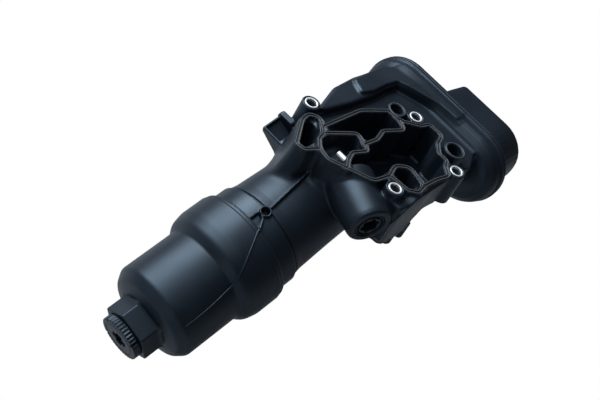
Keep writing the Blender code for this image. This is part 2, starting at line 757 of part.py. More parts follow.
# Standpipe with the bypass valve at its tip
pipe_low = CHAMBER_END - 3.5
standpipe = turned(
    "standpipe",
    (
        (STANDPIPE_R, STANDPIPE_END), (STANDPIPE_R, CHAMBER_END + CLEARANCE),
        (OUTLET_R - CLEARANCE, CHAMBER_END + CLEARANCE), (OUTLET_R - CLEARANCE, pipe_low),
        (OUTLET_R - 2, pipe_low), (OUTLET_R - 2, CHAMBER_END + 6),
        (STANDPIPE_R - STANDPIPE_WALL, CHAMBER_END + 10),
        (STANDPIPE_R - STANDPIPE_WALL, STANDPIPE_END - 5), (5.5, STANDPIPE_END - 5),
        (5.5, STANDPIPE_END),
    ),
    FILTER,
    SMALL_STEPS,
)
spider = block("spider", (-9.6, -1.2, -0.6), (9.6, 1.2, 1.4))
spider.matrix_world = FILTER @ at(0, 0, STANDPIPE_END - 26)
join(standpipe, spider)
finish(standpipe, material("standpipe_plastic", (0.05, 0.05, 0.055), 0.45))
disc_at = STANDPIPE_END - 5 - CLEARANCE
disc = rod("bypass_disc", 7.5, disc_at - 2, disc_at, FILTER)
finish(disc, material("disc_steel", (0.7, 0.7, 0.72), 0.3, 1.0))
bypass_low = STANDPIPE_END - 24.6 + CLEARANCE
bypass = spring("bypass_spring", 6.0, 1.0, bypass_low, disc_at - 2 - CLEARANCE, 8, FILTER)
finish(bypass, material("bypass_steel", (0.7, 0.7, 0.72), 0.3, 1.0))

# Relief valve behind its screw plug
plug = turned(
    "relief_plug",
    (
        (0, -0.5), (RELIEF_PLUG_R - 0.5, -0.5), (RELIEF_PLUG_R, -1), (RELIEF_PLUG_R, -3),
        (RELIEF_PLUG_R - 1.5, -3), (RELIEF_PLUG_R - 1.5, -4), (RELIEF_PLUG_R - 3.3, -4),
        (RELIEF_PLUG_R - 3.3, -6.2), (RELIEF_PLUG_R - 1.5, -6.2),
        (RELIEF_PLUG_R - 1.5, -RELIEF_PLUG_LENGTH), (0, -RELIEF_PLUG_LENGTH),
    ),
    RELIEF,
    32,
)
star = [
    (reach * math.cos(math.tau * k / 12), reach * math.sin(math.tau * k / 12))
    for k, reach in enumerate((6.2, 4.8) * 6)
]
cut(plug, plate("star", star, -7, 3, RELIEF))
finish(plug, material("plug_plastic", PLASTIC, 0.4))
plug_seal = turned("relief_plug_seal", seal_profile(8.95, 0.75, -5.1), RELIEF, 32)
finish(plug_seal, material("plug_rubber", (0.02, 0.02, 0.02), 0.7))
piston_low = -RELIEF_BORE_END + CLEARANCE
piston = turned(
    "relief_piston",
    (
        (RELIEF_BORE_R, piston_low + PISTON_LENGTH), (RELIEF_BORE_R, piston_low + 1),
        (RELIEF_BORE_R - 1, piston_low), (0.5, piston_low), (0.5, piston_low + 3),
        (7.2, piston_low + 3), (7.2, piston_low + PISTON_LENGTH),
    ),
    RELIEF,
    SMALL_STEPS,
)
finish(piston, material("piston_steel", (0.6, 0.6, 0.62), 0.35, 1.0))
relief_spring = spring(
    "relief_spring", 5.6, 1.4, piston_low + 3 + CLEARANCE, -RELIEF_PLUG_LENGTH - CLEARANCE, 7, RELIEF
)
finish(relief_spring, material("spring_steel", (0.7, 0.7, 0.72), 0.3, 1.0))

# Steel pin in the middle pocket
pin = turned(
    "valve_pin",
    (
        (0, 0), (PIN_R - 0.5, 0), (PIN_R, -0.5), (PIN_R, -PIN_LENGTH), (0, -PIN_LENGTH),
    ),
    PIN,
    SMALL_STEPS,
)
finish(pin, material("pin_steel", (0.8, 0.8, 0.82), 0.25, 1.0))

# Cooler: plate pack, seals, cover
plates = []
pack_low = SHELL_BOTTOM + SHELL_WALL + 4.0
pack_outline = rounded(((12, -16, 6), (-45, -16, 9), (-45, -54, 9), (12, -54, 6)))
cooler = None
for i, (y, z) in enumerate(CORE_COLUMNS):
    column = rod(
        f"column_{i}", COLUMN_R, pack_low - 2, pack_low + CORE_PITCH * (CORE_PLATES - 1) + 0.5,
        frame_at((0, y, z), WORLD_X, WORLD_Z), 12,
    )
    plates.append(column)
for k in range(CORE_PLATES):
    low = pack_low + k * CORE_PITCH
    layer = plate(f"cooler_plate_{k}", pack_outline, low, low + CORE_PLATE, SHELL)
    if cooler is None:
        cooler = layer
        cooler.name = "cooler_core"
    else:
        plates.append(layer)
join(cooler, *plates)
for i, (y, z) in enumerate(CORE_COLUMNS):
    bore_frame = half_step(frame_at((0, y, z), WORLD_X, WORLD_Z), 12)
    cut(cooler, rod(f"column_bore_{i}", 5.0, pack_low - 5, pack_low + 30, bore_frame, 12))
finish(cooler, material("cooler_aluminium", (0.78, 0.79, 0.8), 0.35, 1.0))
for i, (y, z) in enumerate(CORE_COLUMNS):
    seal_at = SHELL_BOTTOM + SHELL_WALL
    seal = turned(
        f"cooler_seal_{i + 1}",
        ring_profile(7.4, 5.2, seal_at + CLEARANCE, pack_low - 2 - CLEARANCE),
        frame_at((0, y, z), WORLD_X, WORLD_Z),
        SMALL_STEPS,
    )
    finish(seal, material(f"cooler_rubber_{i + 1}", (0.02, 0.02, 0.02), 0.7))


def box_outline(inset, taper):
    """Outline of the cover's box, drawn in by an inset and by the end's draft."""
    left, right, top_z, low_z = BOX_FACES
    end = left - inset - taper
    return rounded((
        (end, top_z - inset, BOX_CORNER - inset / 2),
        (right + inset, top_z - inset, BOX_ROUND - inset),
        (right + inset, low_z + inset, BOX_ROUND - inset),
        (end, low_z + inset, BOX_CORNER - inset / 2),
    ))


cover = loft(
    "cooler_cover",
    (
        (stadium(FLANGE_R - 0.3), PARTING + CLEARANCE / 2),
        (stadium(FLANGE_R - 0.3), FLANGE_END - 0.8), (stadium(FLANGE_R - 1.1), FLANGE_END),
    ),
    SHELL,
)
cover_box = loft(
    "cover_box",
    (
        (box_outline(0, 0), FLANGE_END - 1.5), (box_outline(0, BOX_DRAFT), BOX_END - 1.5),
        (box_outline(1.3, BOX_DRAFT), BOX_END),
    ),
    SHELL,
)
cover_room = loft(
    "cover_room",
    ((box_outline(2.5, 0), PARTING - 2), (box_outline(2.5, BOX_DRAFT), BOX_END - 2.5)),
    SHELL,
)
join(cover, cover_box)
cut(cover, cover_room)
finish(cover, material("cover_plastic", PLASTIC, 0.42))
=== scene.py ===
"""Dressed model of the oil filter housing, in the frame of its solids.

Lengths in the shapes are millimetres, with z = 0 on the gasket face; meshes are in metres.
Each moulding is a signed distance field: shapes are joined and cut in small windows of a grid,
given by their low and high corners, and the zero level becomes the mesh.
"""

import math
from collections import namedtuple

import bmesh
import bpy
import numpy as np
from mathutils import Matrix, Vector


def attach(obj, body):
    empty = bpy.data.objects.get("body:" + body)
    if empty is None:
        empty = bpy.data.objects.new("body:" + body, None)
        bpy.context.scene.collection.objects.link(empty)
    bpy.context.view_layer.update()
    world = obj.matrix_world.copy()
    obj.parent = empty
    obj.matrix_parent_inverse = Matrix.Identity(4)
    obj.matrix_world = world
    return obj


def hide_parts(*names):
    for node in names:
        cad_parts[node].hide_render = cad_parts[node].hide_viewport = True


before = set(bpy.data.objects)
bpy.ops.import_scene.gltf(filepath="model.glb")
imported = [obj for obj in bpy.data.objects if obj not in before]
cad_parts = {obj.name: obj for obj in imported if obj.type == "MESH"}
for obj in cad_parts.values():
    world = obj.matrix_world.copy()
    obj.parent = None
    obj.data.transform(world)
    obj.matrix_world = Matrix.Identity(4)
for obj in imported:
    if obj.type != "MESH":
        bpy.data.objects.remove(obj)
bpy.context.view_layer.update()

MM = 0.001
# Grid steps of the large and the small pieces, and the most triangles of each piece
STEP = 0.6
FINE_STEP = 0.3
HOUSING_TRIANGLES = 195000
BOWL_TRIANGLES = 120000
DRAIN_TRIANGLES = 40000
COVER_TRIANGLES = 60000
PLUG_TRIANGLES = 30000
GASKET_TRIANGLES = 90000
# Turn per step of an arc, sideways growth per millimetre of height, top of the windows over
# the face, distance that an empty grid starts with
ARC_STEP = math.radians(12)
DRAFT = 0.012
WINDOW_TOP = 2
OUTSIDE = 6.0

# Gasket face: bolts, ports, walls as (x, y, corner radius) middle lines, inlet's hole
BOLT_AT = ((-33.8, 61.7), (41.9, 11.5), (-36.1, -29.8), (27.9, -43.5))
SLEEVE_R = 5.5
SLEEVE_BORE_R = 4.1
SLEEVE_FIT = 0.3
BOSS_TOP_R = 7.5
BOSS_LENGTH = 31.0
DEEP_BOSS = 2
DEEP_BOSS_LENGTH = 44.0
WALL = 4.4
WALL_FILLET = 4.0
FLOOR_TOP = -34.5
FLOOR_LOW = -38.0
GROOVE_WIDTH = 3.1
GROOVE_DEPTH = 2.2
# Ports: place, radii of the outside, the ring line and the bore, depth of the bore
Port = namedtuple("Port", "x y outer line bore depth")
PORTS = (Port(32.4, 24.8, 7.9, 6.7, 5.2, 30), Port(45.6, -28.4, 9.2, 7.9, 6.2, 32))
PORT_RING_DEPTH = 38
LOOP = (
    (-62.8, 26.0, 3), (-64.6, 15.5, 7), (-46.0, -16.5, 8), (-29.3, -19.4, 3), (-27.6, -36.0, 6),
    (-20.5, -42.0, 4), (-10.3, -40.0, 3), (4.0, -40.6, 12), (17.5, -43.3, 4), (23.0, -36.0, 3),
    (29.3, -32.5, 3), (29.4, -24.0, 4), (37.5, -16.5, 4), (48.0, -13.0, 5), (47.2, 1.2, 4),
    (39.0, 2.6, 8), (28.5, 11.8, 4), (24.3, 18.0, 4), (23.8, 27.3, 4), (0.5, 38.2, 14),
    (-43.0, 40.2, 3), (-47.5, 35.0, 4), (-55.5, 33.0, 3),
)
INLET_WALL = (
    (-45.2, 37.4, 0), (-38.4, 48.0, 6), (-44.4, 54.6, 6), (-53.2, 53.0, 7), (-76.4, 38.0, 4),
    (-75.2, 31.0, 4), (-62.8, 25.8, 0),
)
POCKET_WALL = (
    (-47.6, 35.2, 0), (-21.3, 22.4, 4), (-27.0, 5.8, 3), (-40.8, 10.8, 4), (-49.0, 7.6, 4),
    (-56.8, 2.0, 0),
)
RETURN_WALL = (
    (24.4, 17.6, 0), (21.0, 6.2, 4), (2.0, 14.4, 5), (-10.5, 10.6, 5), (-24.9, 12.0, 0),
)
LENS_WALL = ((-31.4, -19.6, 0), (-17.0, -14.5, 8), (-7.0, -22.0, 7), (-10.8, -39.6, 0))
BRANCHES = (INLET_WALL, POCKET_WALL, RETURN_WALL, LENS_WALL)
INLET_HOLE = (
    (-48.5, 39.5, 3), (-43.0, 50.5, 5), (-54.0, 50.0, 5), (-72.0, 38.0, 3), (-71.0, 33.5, 3),
    (-57.5, 33.5, 3),
)

# Outlines beside and under the face
SKIRT_TOP = (
    (-46, 38, 0), (-40, 48, 3), (-45, 54.5, 3), (-53.2, 54.5, 5), (-78, 38.6, 4), (-76.4, 29.4, 4),
    (-62, 24, 0),
)
SKIRT_FOOT = (
    (-46, 38, 0), (-40, 50, 5), (-42, 57, 5), (-56, 58, 8), (-84, 43, 8), (-83, 25, 6),
    (-62, 17, 0),
)
SHOULDER = (
    (-28, 58, 2), (4, 68.5, 20), (32, 70, 20), (55, 68, 14), (84, 56, 6), (88, -9, 2),
    (80.3, -9, 1), (79, 12, 4), (63.5, 45.5, 4), (50, 47, 4), (33, 46.5, 4), (4, 49, 10),
    (-26, 54, 2),
)
# Height of a tilted top, and its fall for each millimetre past a point in one direction
SHOULDER_TILT = (-4.4, 0.11)
RAISED_TILT = (-1.8, 0.15)
FALL_FROM = (40, 50)
FALL_TOWARDS = (0.35, 0.94)
RAISED_FOOT = (
    (8, 50, 2), (16, 68.5, 3), (68, 68.5, 3), (89, 56, 4), (89, -8, 2), (79.5, -8, 1),
    (78, 12, 4), (62.5, 46.5, 4), (50, 48, 4), (33, 47.5, 4), (22, 49.5, 2),
)
RAISED_HEAD = (
    (19, 52.5, 2), (27.5, 66.5, 3), (68, 66.5, 3), (88, 54, 4), (88, -6, 2), (80, -6, 1),
    (78.5, 12.5, 4), (63.5, 47.5, 4), (50, 49, 4), (33, 48.5, 4), (24, 50.5, 2),
)
RAISED_FLOOR = (
    (1, -40.5, 0), (4, -41.5, 0), (17.5, -44, 0), (23.5, -37, 0), (29.8, -33, 0), (29.8, -24, 1),
    (33, -20, 0), (1, -20, 2),
)
BOSS_FILL = (
    (-43, -29, 0), (-26, -18, 0), (-20, -36, 0), (-6, -36, 0), (-6, -44.9, 2), (-42, -44.9, 4),
)
LAND = (
    (-27, 39.8, 1), (-27, 54, 1), (77, 58, 4), (77, -34, 8), (58, -44, 8), (42, -40, 6),
    (38, -30, 3), (48.5, -13.5, 3), (47.6, 1, 3), (28.5, 12.2, 3), (24.4, 18, 2),
    (24, 27.2, 2), (0.5, 38.4, 2),
)
LAND_TOP = -11.5
LAND_CORNER = (-45.3, 37.0)
LAND_CORNER_R = 3.4

# Side wall in x and z at its own y, and its lugs as (x, y, radius, low, high)
LUGS = ((-19, -39.2, 6.0, -59, -38), (-6, -42.7, 4.0, -58, -42))
SIDE_WALL_Y = -42.9
SIDE_WALL_HALF = 2.3
SIDE_WALL = (
    (-46, -40, 0), (-34, -50, 3), (-10, -50, 3), (-7, -46, 3), (3, -30, 3), (27, -30, 3),
    (27, -3, 1), (-26, -3, 2), (-31, -7, 2), (-46, -20, 0),
)

# Hook-shaped slot and valve pin
HOOK = ((-30.0, 56.2, 0), (-26.9, 55.5, 2), (-22.2, 53.1, 2), (-23.0, 46.6, 0))
PIN_AT = (-42.0, 20.0, -10.0)
PIN_R = 2.2
PIN_LENGTH = 10.0

# Filter axis and mouth, collar with its eyelet, rib on the tube, outlet and its drop
TILT = math.radians(19)
MOUTH = np.array((-106.8, 19.7, -77.0))
COLLAR_R = 41.5
EYELET_TURN = math.radians(-4)
EYELET_STATION = -7.8
EYELET_R = 4.5
EYELET_TOP = 43.9
EYELET_HOLE_R = 3.2
EYELET_HOLE_FLOOR = 36.4
RIB_HALF = 0.75
RIB_TOP = 41.2
RIB_MIDDLE = -37
RIB_REACH = 26
OUTLET_R = 7.0
OUTLET_ENDS = (-103, -84)
OUTLET_DROP = (-7, 19.7)
OUTLET_DROP_R = 6.5

# Relief valve's face and axis, cooler shell's middle line, parting at the cover, cooler's ways
RELIEF_FACE = np.array((-60.4, -37.5, -22.0))
YAW = math.radians(24)
SHELL_Y, SHELL_Z = 9.2, -35.0
SHELL_STRAIGHT = 39.0
PARTING = 92.6
PARTING_GAP = 0.15
COOLER_WAY_Z = -27.0
COOLER_WAY_R = 4.6


def rounded(corners, closed=True):
    """Return the polyline through (x, y, radius) corners with arcs at the corners."""
    points = []
    count = len(corners)
    for i, (x, y, radius) in enumerate(corners):
        here = Vector((x, y))
        if radius == 0 or (not closed and i in (0, count - 1)):
            points.append(here)
            continue
        before = Vector(corners[i - 1][:2]) - here
        after = Vector(corners[(i + 1) % count][:2]) - here
        turn = math.pi - before.angle(after)
        slope = math.tan(turn / 2)
        reach = min(radius * slope, 0.48 * before.length, 0.48 * after.length)
        start = here + before.normalized() * reach
        middle = (before.normalized() + after.normalized()).normalized()
        centre = here + middle * (reach / slope / math.cos(turn / 2))
        side = 1 if before.cross(after) < 0 else -1
        steps = max(1, math.ceil(turn / ARC_STEP))
        for k in range(steps + 1):
            spin = Matrix.Rotation(side * turn * k / steps, 2)
            points.append(centre + spin @ (start - centre))
    return [(p[0], p[1]) for p in points]


# Distance fields


def smooth_min(a, b, blend):
    """Lower of two distances, with a fillet of about the blend's size."""
    if blend <= 0:
        return np.minimum(a, b)
    h = np.maximum(blend - np.abs(a - b), 0) / blend
    return np.minimum(a, b) - h * h * (blend / 4)


def smooth_max(a, b, blend):
    """Higher of two distances, with a rounded edge."""
    return -smooth_min(-a, -b, blend)


def path_distance(points, x, y, closed):
    """Distance to a polyline on a grid of x and y."""
    best = np.full(np.broadcast(x, y).shape, 1e6)
    ends = len(points) if closed else len(points) - 1
    for i in range(ends):
        ax, ay = points[i]
        bx, by = points[(i + 1) % len(points)]
        dx, dy = bx - ax, by - ay
        length = dx * dx + dy * dy
        if length < 1e-12:
            continue
        t = np.clip(((x - ax) * dx + (y - ay) * dy) / length, 0, 1)
        best = np.minimum(best, np.hypot(x - ax - t * dx, y - ay - t * dy))
    return best


def polygon_distance(points, x, y):
    """Signed distance to a closed outline on a grid of x and y, negative inside."""
    far = path_distance(points, x, y, True)
    inside = np.zeros(far.shape, bool)
    for i in range(len(points)):
        ax, ay = points[i]
        bx, by = points[(i + 1) % len(points)]
        if ay == by:
            continue
        crosses = (ay > y) != (by > y)
        inside ^= crosses & (x < (bx - ax) * (y - ay) / (by - ay) + ax)
    return np.where(inside, -far, far)


class Table:
    """Signed distance to a profile in the (radius, height) plane, looked up by interpolation."""

    def __init__(self, corners, step=0.25, margin=9.0):
        points = rounded(corners)
        low = np.min(points, axis=0) - margin
        high = np.max(points, axis=0) + margin
        self.low = low
        self.step = step
        self.count = ((high - low) / step).astype(int) + 1
        x = low[0] + step * np.arange(self.count[0])[:, None]
        y = low[1] + step * np.arange(self.count[1])[None, :]
        self.values = polygon_distance(points, x, y).astype(np.float32)

    def __call__(self, r, s):
        u = np.clip((r - self.low[0]) / self.step, 0, self.count[0] - 1.001).astype(np.float32)
        v = np.clip((s - self.low[1]) / self.step, 0, self.count[1] - 1.001).astype(np.float32)
        u, v = np.broadcast_arrays(u, v)
        i = u.astype(np.int32)
        j = v.astype(np.int32)
        fu = u - i
        fv = v - j
        flat = self.values.ravel()
        at = i * self.count[1] + j
        near = flat[at] * (1 - fv) + flat[at + 1] * fv
        at += self.count[1]
        far = flat[at] * (1 - fv) + flat[at + 1] * fv
        return near * (1 - fu) + far * fu


class Field:
    """Signed distance on a regular grid, built up by joining and cutting shapes."""

    def __init__(self, low, high, step):
        self.low = np.array(low, float)
        self.step = step
        self.count = np.ceil((np.array(high) - self.low) / step).astype(int) + 1
        self.values = np.full(self.count, OUTSIDE, np.float32)
        self.axes = [
            (self.low[k] + step * np.arange(self.count[k])).astype(np.float32) for k in range(3)
        ]

    def part(self, low, high):
        """Return a window of the grid and its coordinates."""
        a = np.clip(((np.array(low) - self.low) / self.step).astype(int), 0, self.count)
        b = np.clip(((np.array(high) - self.low) / self.step).astype(int) + 2, 0, self.count)
        window = tuple(slice(i, j) for i, j in zip(a, b))
        x = self.axes[0][window[0]][:, None, None]
        y = self.axes[1][window[1]][None, :, None]
        z = self.axes[2][window[2]][None, None, :]
        return window, x, y, z

    def join(self, low, high, shape, blend=1.0):
        """Add a shape in a window, with a fillet of the blend's size."""
        window, x, y, z = self.part(low, high)
        self.values[window] = smooth_min(self.values[window], shape(x, y, z), blend)

    def cut(self, low, high, shape, blend=0.5):
        """Take a shape away in a window, with a rounded rim."""
        window, x, y, z = self.part(low, high)
        self.values[window] = -smooth_min(-self.values[window], shape(x, y, z), blend)

    def mesh(self, name):
        """Return a closed mesh of the zero level, one point to a crossed cell."""
        values = self.values
        inside = values < 0
        total = np.zeros([n - 1 for n in values.shape], np.int8)
        corners = [(i, j, k) for i in (0, 1) for j in (0, 1) for k in (0, 1)]
        size = values.shape
        for i, j, k in corners:
            total += inside[i:size[0] - 1 + i, j:size[1] - 1 + j, k:size[2] - 1 + k]
        mixed = (total > 0) & (total < 8)
        cells = np.argwhere(mixed)
        index = np.full(mixed.shape, -1, np.int32)
        index[mixed] = np.arange(len(cells), dtype=np.int32)
        around = [values[cells[:, 0] + i, cells[:, 1] + j, cells[:, 2] + k] for i, j, k in corners]
        places = np.zeros((len(cells), 3))
        hits = np.zeros(len(cells))
        for a in range(8):
            for b in range(a + 1, 8):
                step = np.subtract(corners[b], corners[a])
                if np.abs(step).sum() != 1:
                    continue
                va, vb = around[a], around[b]
                crossed = (va < 0) != (vb < 0)
                share = np.where(crossed, va / np.where(crossed, va - vb, 1), 0)
                spot = np.array(corners[a])[None, :] + share[:, None] * step[None, :]
                places += np.where(crossed[:, None], spot, 0)
                hits += crossed
        places = (places / hits[:, None] + cells) * self.step + self.low
        quads = []
        for axis in range(3):
            other = [k for k in range(3) if k != axis]
            first = [slice(None)] * 3
            second = [slice(None)] * 3
            first[axis] = slice(0, -1)
            second[axis] = slice(1, None)
            a, b = inside[tuple(first)], inside[tuple(second)]
            edges = np.argwhere(a != b)
            keep = np.ones(len(edges), bool)
            for k in other:
                keep &= (edges[:, k] > 0) & (edges[:, k] < size[k] - 1)
            edges = edges[keep]
            out = a[tuple(edges.T)]
            ring = []
            for du, dv in ((1, 1), (0, 1), (0, 0), (1, 0)):
                cell = edges.copy()
                cell[:, other[0]] -= du
                cell[:, other[1]] -= dv
                ring.append(index[tuple(cell.T)])
            ring = np.stack(ring, axis=1)
            flip = out if axis != 1 else ~out
            ring[flip] = ring[flip][:, ::-1]
            quads.append(ring)
        quads = np.concatenate(quads)
        mesh = bpy.data.meshes.new(name)
        mesh.vertices.add(len(places))
        mesh.vertices.foreach_set("co", (places * MM).astype(np.float32).ravel())
        mesh.loops.add(quads.size)
        mesh.loops.foreach_set("vertex_index", quads.astype(np.int32).ravel())
        mesh.polygons.add(len(quads))
        mesh.polygons.foreach_set("loop_start", np.arange(0, quads.size, 4, dtype=np.int32))
        mesh.update(calc_edges=True)
        return mesh


def vertical(outline_distance, low, high, edge=0.6):
    """Upright prism from a 2D distance, with rounded top edges."""

    def shape(x, y, z):
        return smooth_max(outline_distance(x, y, z), np.maximum(z - high, low - z), edge)

    return shape


def post(cx, cy, radius, low, high, draft=0.01, edge=0.6):
    """Upright round boss that widens a little downwards."""

    def shape(x, y, z):
        side = np.hypot(x - cx, y - cy) - radius - draft * (high - z)
        return smooth_max(side, np.maximum(z - high, low - z), edge)

    return shape


def outline(corners):
    """Distance function of a flat outline."""
    points = rounded(corners)

    def distance(x, y, z):
        return polygon_distance(points, x[:, :, 0], y[:, :, 0])[:, :, None]

    return distance


def sloping(high, fall):
    """Top plane that falls outwards from the gasket face, towards +y and a little to +x."""

    def top(x, y):
        past = FALL_TOWARDS[0] * (x - FALL_FROM[0]) + FALL_TOWARDS[1] * (y - FALL_FROM[1])
        return high - fall * np.maximum(0, past)

    return top


def loft(foot, foot_z, head, head_z, edge, top=None):
    """Prism whose outline goes over evenly from its foot to its head."""
    below, above = outline(foot), outline(head)

    def shape(x, y, z):
        share = np.clip((z - foot_z) / (head_z - foot_z), 0, 1)
        side = (1 - share) * below(x, y, z) + share * above(x, y, z)
        high = top(x, y) if top else head_z
        return smooth_max(side, np.maximum(z - high, foot_z - z), edge)

    return shape


def filter_prism(corners, first, last, edge=0.8):
    """Prism of an (up, across) outline between two stations on the filter axis."""
    points = rounded(corners)

    def shape(x, y, z):
        up, across, station = filter_frame(x, y, z)
        side = polygon_distance(points, up, across)
        return smooth_max(side, np.maximum(station - last, first - station), edge)

    return shape


def filter_frame(x, y, z):
    """Coordinates on the filter axis: up, across and station."""
    dx, dy, dz = x - MOUTH[0], y - MOUTH[1], z - MOUTH[2]
    up = -dx * math.sin(TILT) + dz * math.cos(TILT)
    station = -dx * math.cos(TILT) - dz * math.sin(TILT)
    return up, dy, station


def relief_frame(x, y, z):
    """Coordinates on the relief valve's axis: up, across and height over its face."""
    dx, dy, dz = x - RELIEF_FACE[0], y - RELIEF_FACE[1], z - RELIEF_FACE[2]
    height = -dx * math.sin(YAW) - dy * math.cos(YAW)
    across = dx * math.cos(YAW) - dy * math.sin(YAW)
    return dz, across, height


def box_shape(middle, half, edge=0.5):
    """Box with rounded edges."""

    def shape(x, y, z):
        q = [np.abs(c - m) - h + edge for c, m, h in zip((x, y, z), middle, half)]
        outer = np.sqrt(sum(np.maximum(c, 0) ** 2 for c in q))
        inner = np.minimum(np.maximum(np.maximum(q[0], q[1]), q[2]), 0)
        return outer + inner - edge

    return shape


def turned_shape(table, into=None):
    """Round solid from a profile table, in a frame whose third axis is its own."""

    def shape(x, y, z):
        u, v, w = into(x, y, z) if into else (x, y, z)
        return table(np.hypot(u, v), w)

    return shape


def stadium_shape(table):
    """Solid from a profile table, swept round the cooler shell's middle line."""

    def shape(x, y, z):
        out = np.maximum(np.abs(y - SHELL_Y) - SHELL_STRAIGHT, 0)
        return table(np.hypot(out, z - SHELL_Z), x)

    return shape


def round_bore(radius, low=-math.inf, high=math.inf, into=None):
    """Plain cylinder between two heights of its own axis."""

    def shape(x, y, z):
        u, v, w = into(x, y, z) if into else (x, y, z)
        return np.maximum(np.hypot(u, v) - radius, np.maximum(w - high, low - w))

    return shape


def ring_groove(px, py, radius, half, depth):
    """Round groove of a given half width in a face at z = 0."""

    def shape(x, y, z):
        return np.maximum(np.abs(np.hypot(x - px, y - py) - radius) - half, -depth - z)

    return shape


def around(px, py, reach, low, high=WINDOW_TOP):
    """Window round an upright axis, as its low and high corners."""
    return (px - reach, py - reach, low), (px + reach, py + reach, high)


def face_lines(x, y):
    """Distances to the middle lines of the face's walls, the loop's first."""
    lines = [path_distance(rounded(LOOP), x, y, True)]
    for corners in BRANCHES:
        lines.append(path_distance(rounded(corners, False), x, y, False))
    return lines


# Housing


FACE_WINDOW = ((-82, -52, -40), (58, 70, WINDOW_TOP))
TUBE_WINDOW = ((-150, -26, -126), (0, 66, 0))
EAR_WINDOW = ((-62, 36, -66), (-6, 84, -6))
EYELET_WINDOW = ((-124, 6, -50), (-100, 28, -20))


def add_face(field):
    """Walls of the gasket face, with the floors below them."""
    window, x, y, z = field.part(*FACE_WINDOW)
    lines = face_lines(x[:, :, 0], y[:, :, 0])
    walls = lines[0] - WALL / 2
    for far in lines[1:]:
        walls = smooth_min(walls, far - WALL / 2, WALL_FILLET)
    drafted = walls[:, :, None] + DRAFT * z
    field.values[window] = smooth_max(drafted, np.maximum(z, FLOOR_TOP - 1 - z), 0.9)
    floor = vertical(outline(LOOP), FLOOR_LOW, FLOOR_TOP, 0.4)
    field.join((-70, -50, -45), (55, 46, -28), floor, 3.0)
    raised_floor = vertical(outline(RAISED_FLOOR), FLOOR_LOW - 0.1, -26, 1.0)
    field.join((-4, -50, -44), (38, -14, -20), raised_floor, 1.5)


def add_bosses(field):
    """Bolt bosses, port rings and the small land at the inlet."""
    for i, (bx, by) in enumerate(BOLT_AT):
        low = -DEEP_BOSS_LENGTH if i == DEEP_BOSS else -BOSS_LENGTH
        boss = post(bx, by, BOSS_TOP_R, low, 0, DRAFT)
        field.join(*around(bx, by, 14, low - 4), boss, 2.0)
    for port in PORTS:
        ring = post(port.x, port.y, port.outer, -PORT_RING_DEPTH, 0, DRAFT)
        field.join(*around(port.x, port.y, 15, -42), ring, 2.0)
    px, py = LAND_CORNER
    field.join(*around(px, py, 8, -20), post(px, py, LAND_CORNER_R, -14, 0, 0.0), 2.0)


def add_shoulder(field):
    """Land round the ports, tilted shoulder, its raised part and the inlet wall's skirt."""
    field.join((-40, -50, -54), (90, 72, 0), vertical(outline(LAND), -46, LAND_TOP, 1.5), 2.0)
    shoulder = loft(SHOULDER, -44, SHOULDER, -5, 3.0, sloping(*SHOULDER_TILT))
    field.join((-40, -20, -52), (95, 76, WINDOW_TOP), shoulder, 2.5)
    raised = loft(RAISED_FOOT, -14, RAISED_HEAD, -2.4, 1.6, sloping(*RAISED_TILT))
    field.join((0, -16, -18), (95, 76, WINDOW_TOP), raised, 1.5)
    skirt = loft(SKIRT_FOOT, -44, SKIRT_TOP, -4, 2.0)
    field.join((-92, 8, -50), (-30, 66, 0), skirt, 3.0)


def add_pan(field):
    """Cooler shell and its flange."""
    pan = Table((
        (-30, 75.0, 0), (22, 75.0, 1.5), (26.5, 76.0, 3), (31.6, 80.5, 3), (33.2, 84, 4),
        (33.6, 89.3, 0.6), (34.9, 89.5, 0.6), (35.0, PARTING - PARTING_GAP, 0.4),
        (-30, PARTING - PARTING_GAP, 0),
    ))
    field.join((68, -68, -74), (95, 86, 3), stadium_shape(pan), 4.0)


def add_tube(field):
    """Filter tube with its collar, spigot and outlet boss."""
    tube = Table((
        (-30, 26, 0), (40.4, 26, 0.8), (41.2, 25, 0.5), (41.2, 12.8, 0.2), (38.9, 12.8, 0.2),
        (38.9, 9.2, 0.2), (41.2, 9.2, 0.2), (41.2, 4.7, 0.2), (COLLAR_R, 4.5, 0.4),
        (COLLAR_R, -9.6, 0.4), (38.6, -10.0, 0.2), (38.6, -11.4, 0.2), (39.8, -12.0, 0.5),
        (38.6, -19, 6), (37.3, -50, 20), (36.4, -88, 8), (33.5, -93.5, 6), (27, -95, 8),
        (12.5, -95, 6), (12, -108, 5), (-30, -108, 0),
    ))
    field.join(*TUBE_WINDOW, turned_shape(tube, filter_frame), 5.0)


def add_relief_boss(field):
    """Relief valve's boss, with a drafted side and a rounded face."""
    boss = Table((
        (-30, 0, 0), (16.6, 0, 2.4), (17.6, -4, 6), (20.2, -44, 3), (-30, -44, 0),
    ))
    field.join((-90, -62, -46), (-24, 10, 3), turned_shape(boss, relief_frame), 3.0)


def add_side(field):
    """Pillar and filler at the third bolt, side wall with its fin and two lugs."""
    pillar = post(-35.1, -30.8, 7.4, -47, -8, DRAFT)
    field.join((-50, -46, -54), (-20, -16, -4), pillar, 2.0)
    points = rounded(SIDE_WALL)

    def side_wall(x, y, z):
        thick = np.abs(y - SIDE_WALL_Y) - SIDE_WALL_HALF
        return smooth_max(polygon_distance(points, x, z), thick, 1.2)

    field.join((-52, -50, -56), (33, -36, 0), side_wall, 2.0)
    fill = vertical(outline(BOSS_FILL), -48, -6, 2.5)
    field.join((-52, -52, -52), (2, -10, 0), fill, 3.0)
    field.join((-30, -50, -64), (-8, -29, -36), post(*LUGS[0]), 2.0)
    field.join((-14, -50, -63), (2, -35, -40), post(*LUGS[1]), 1.5)


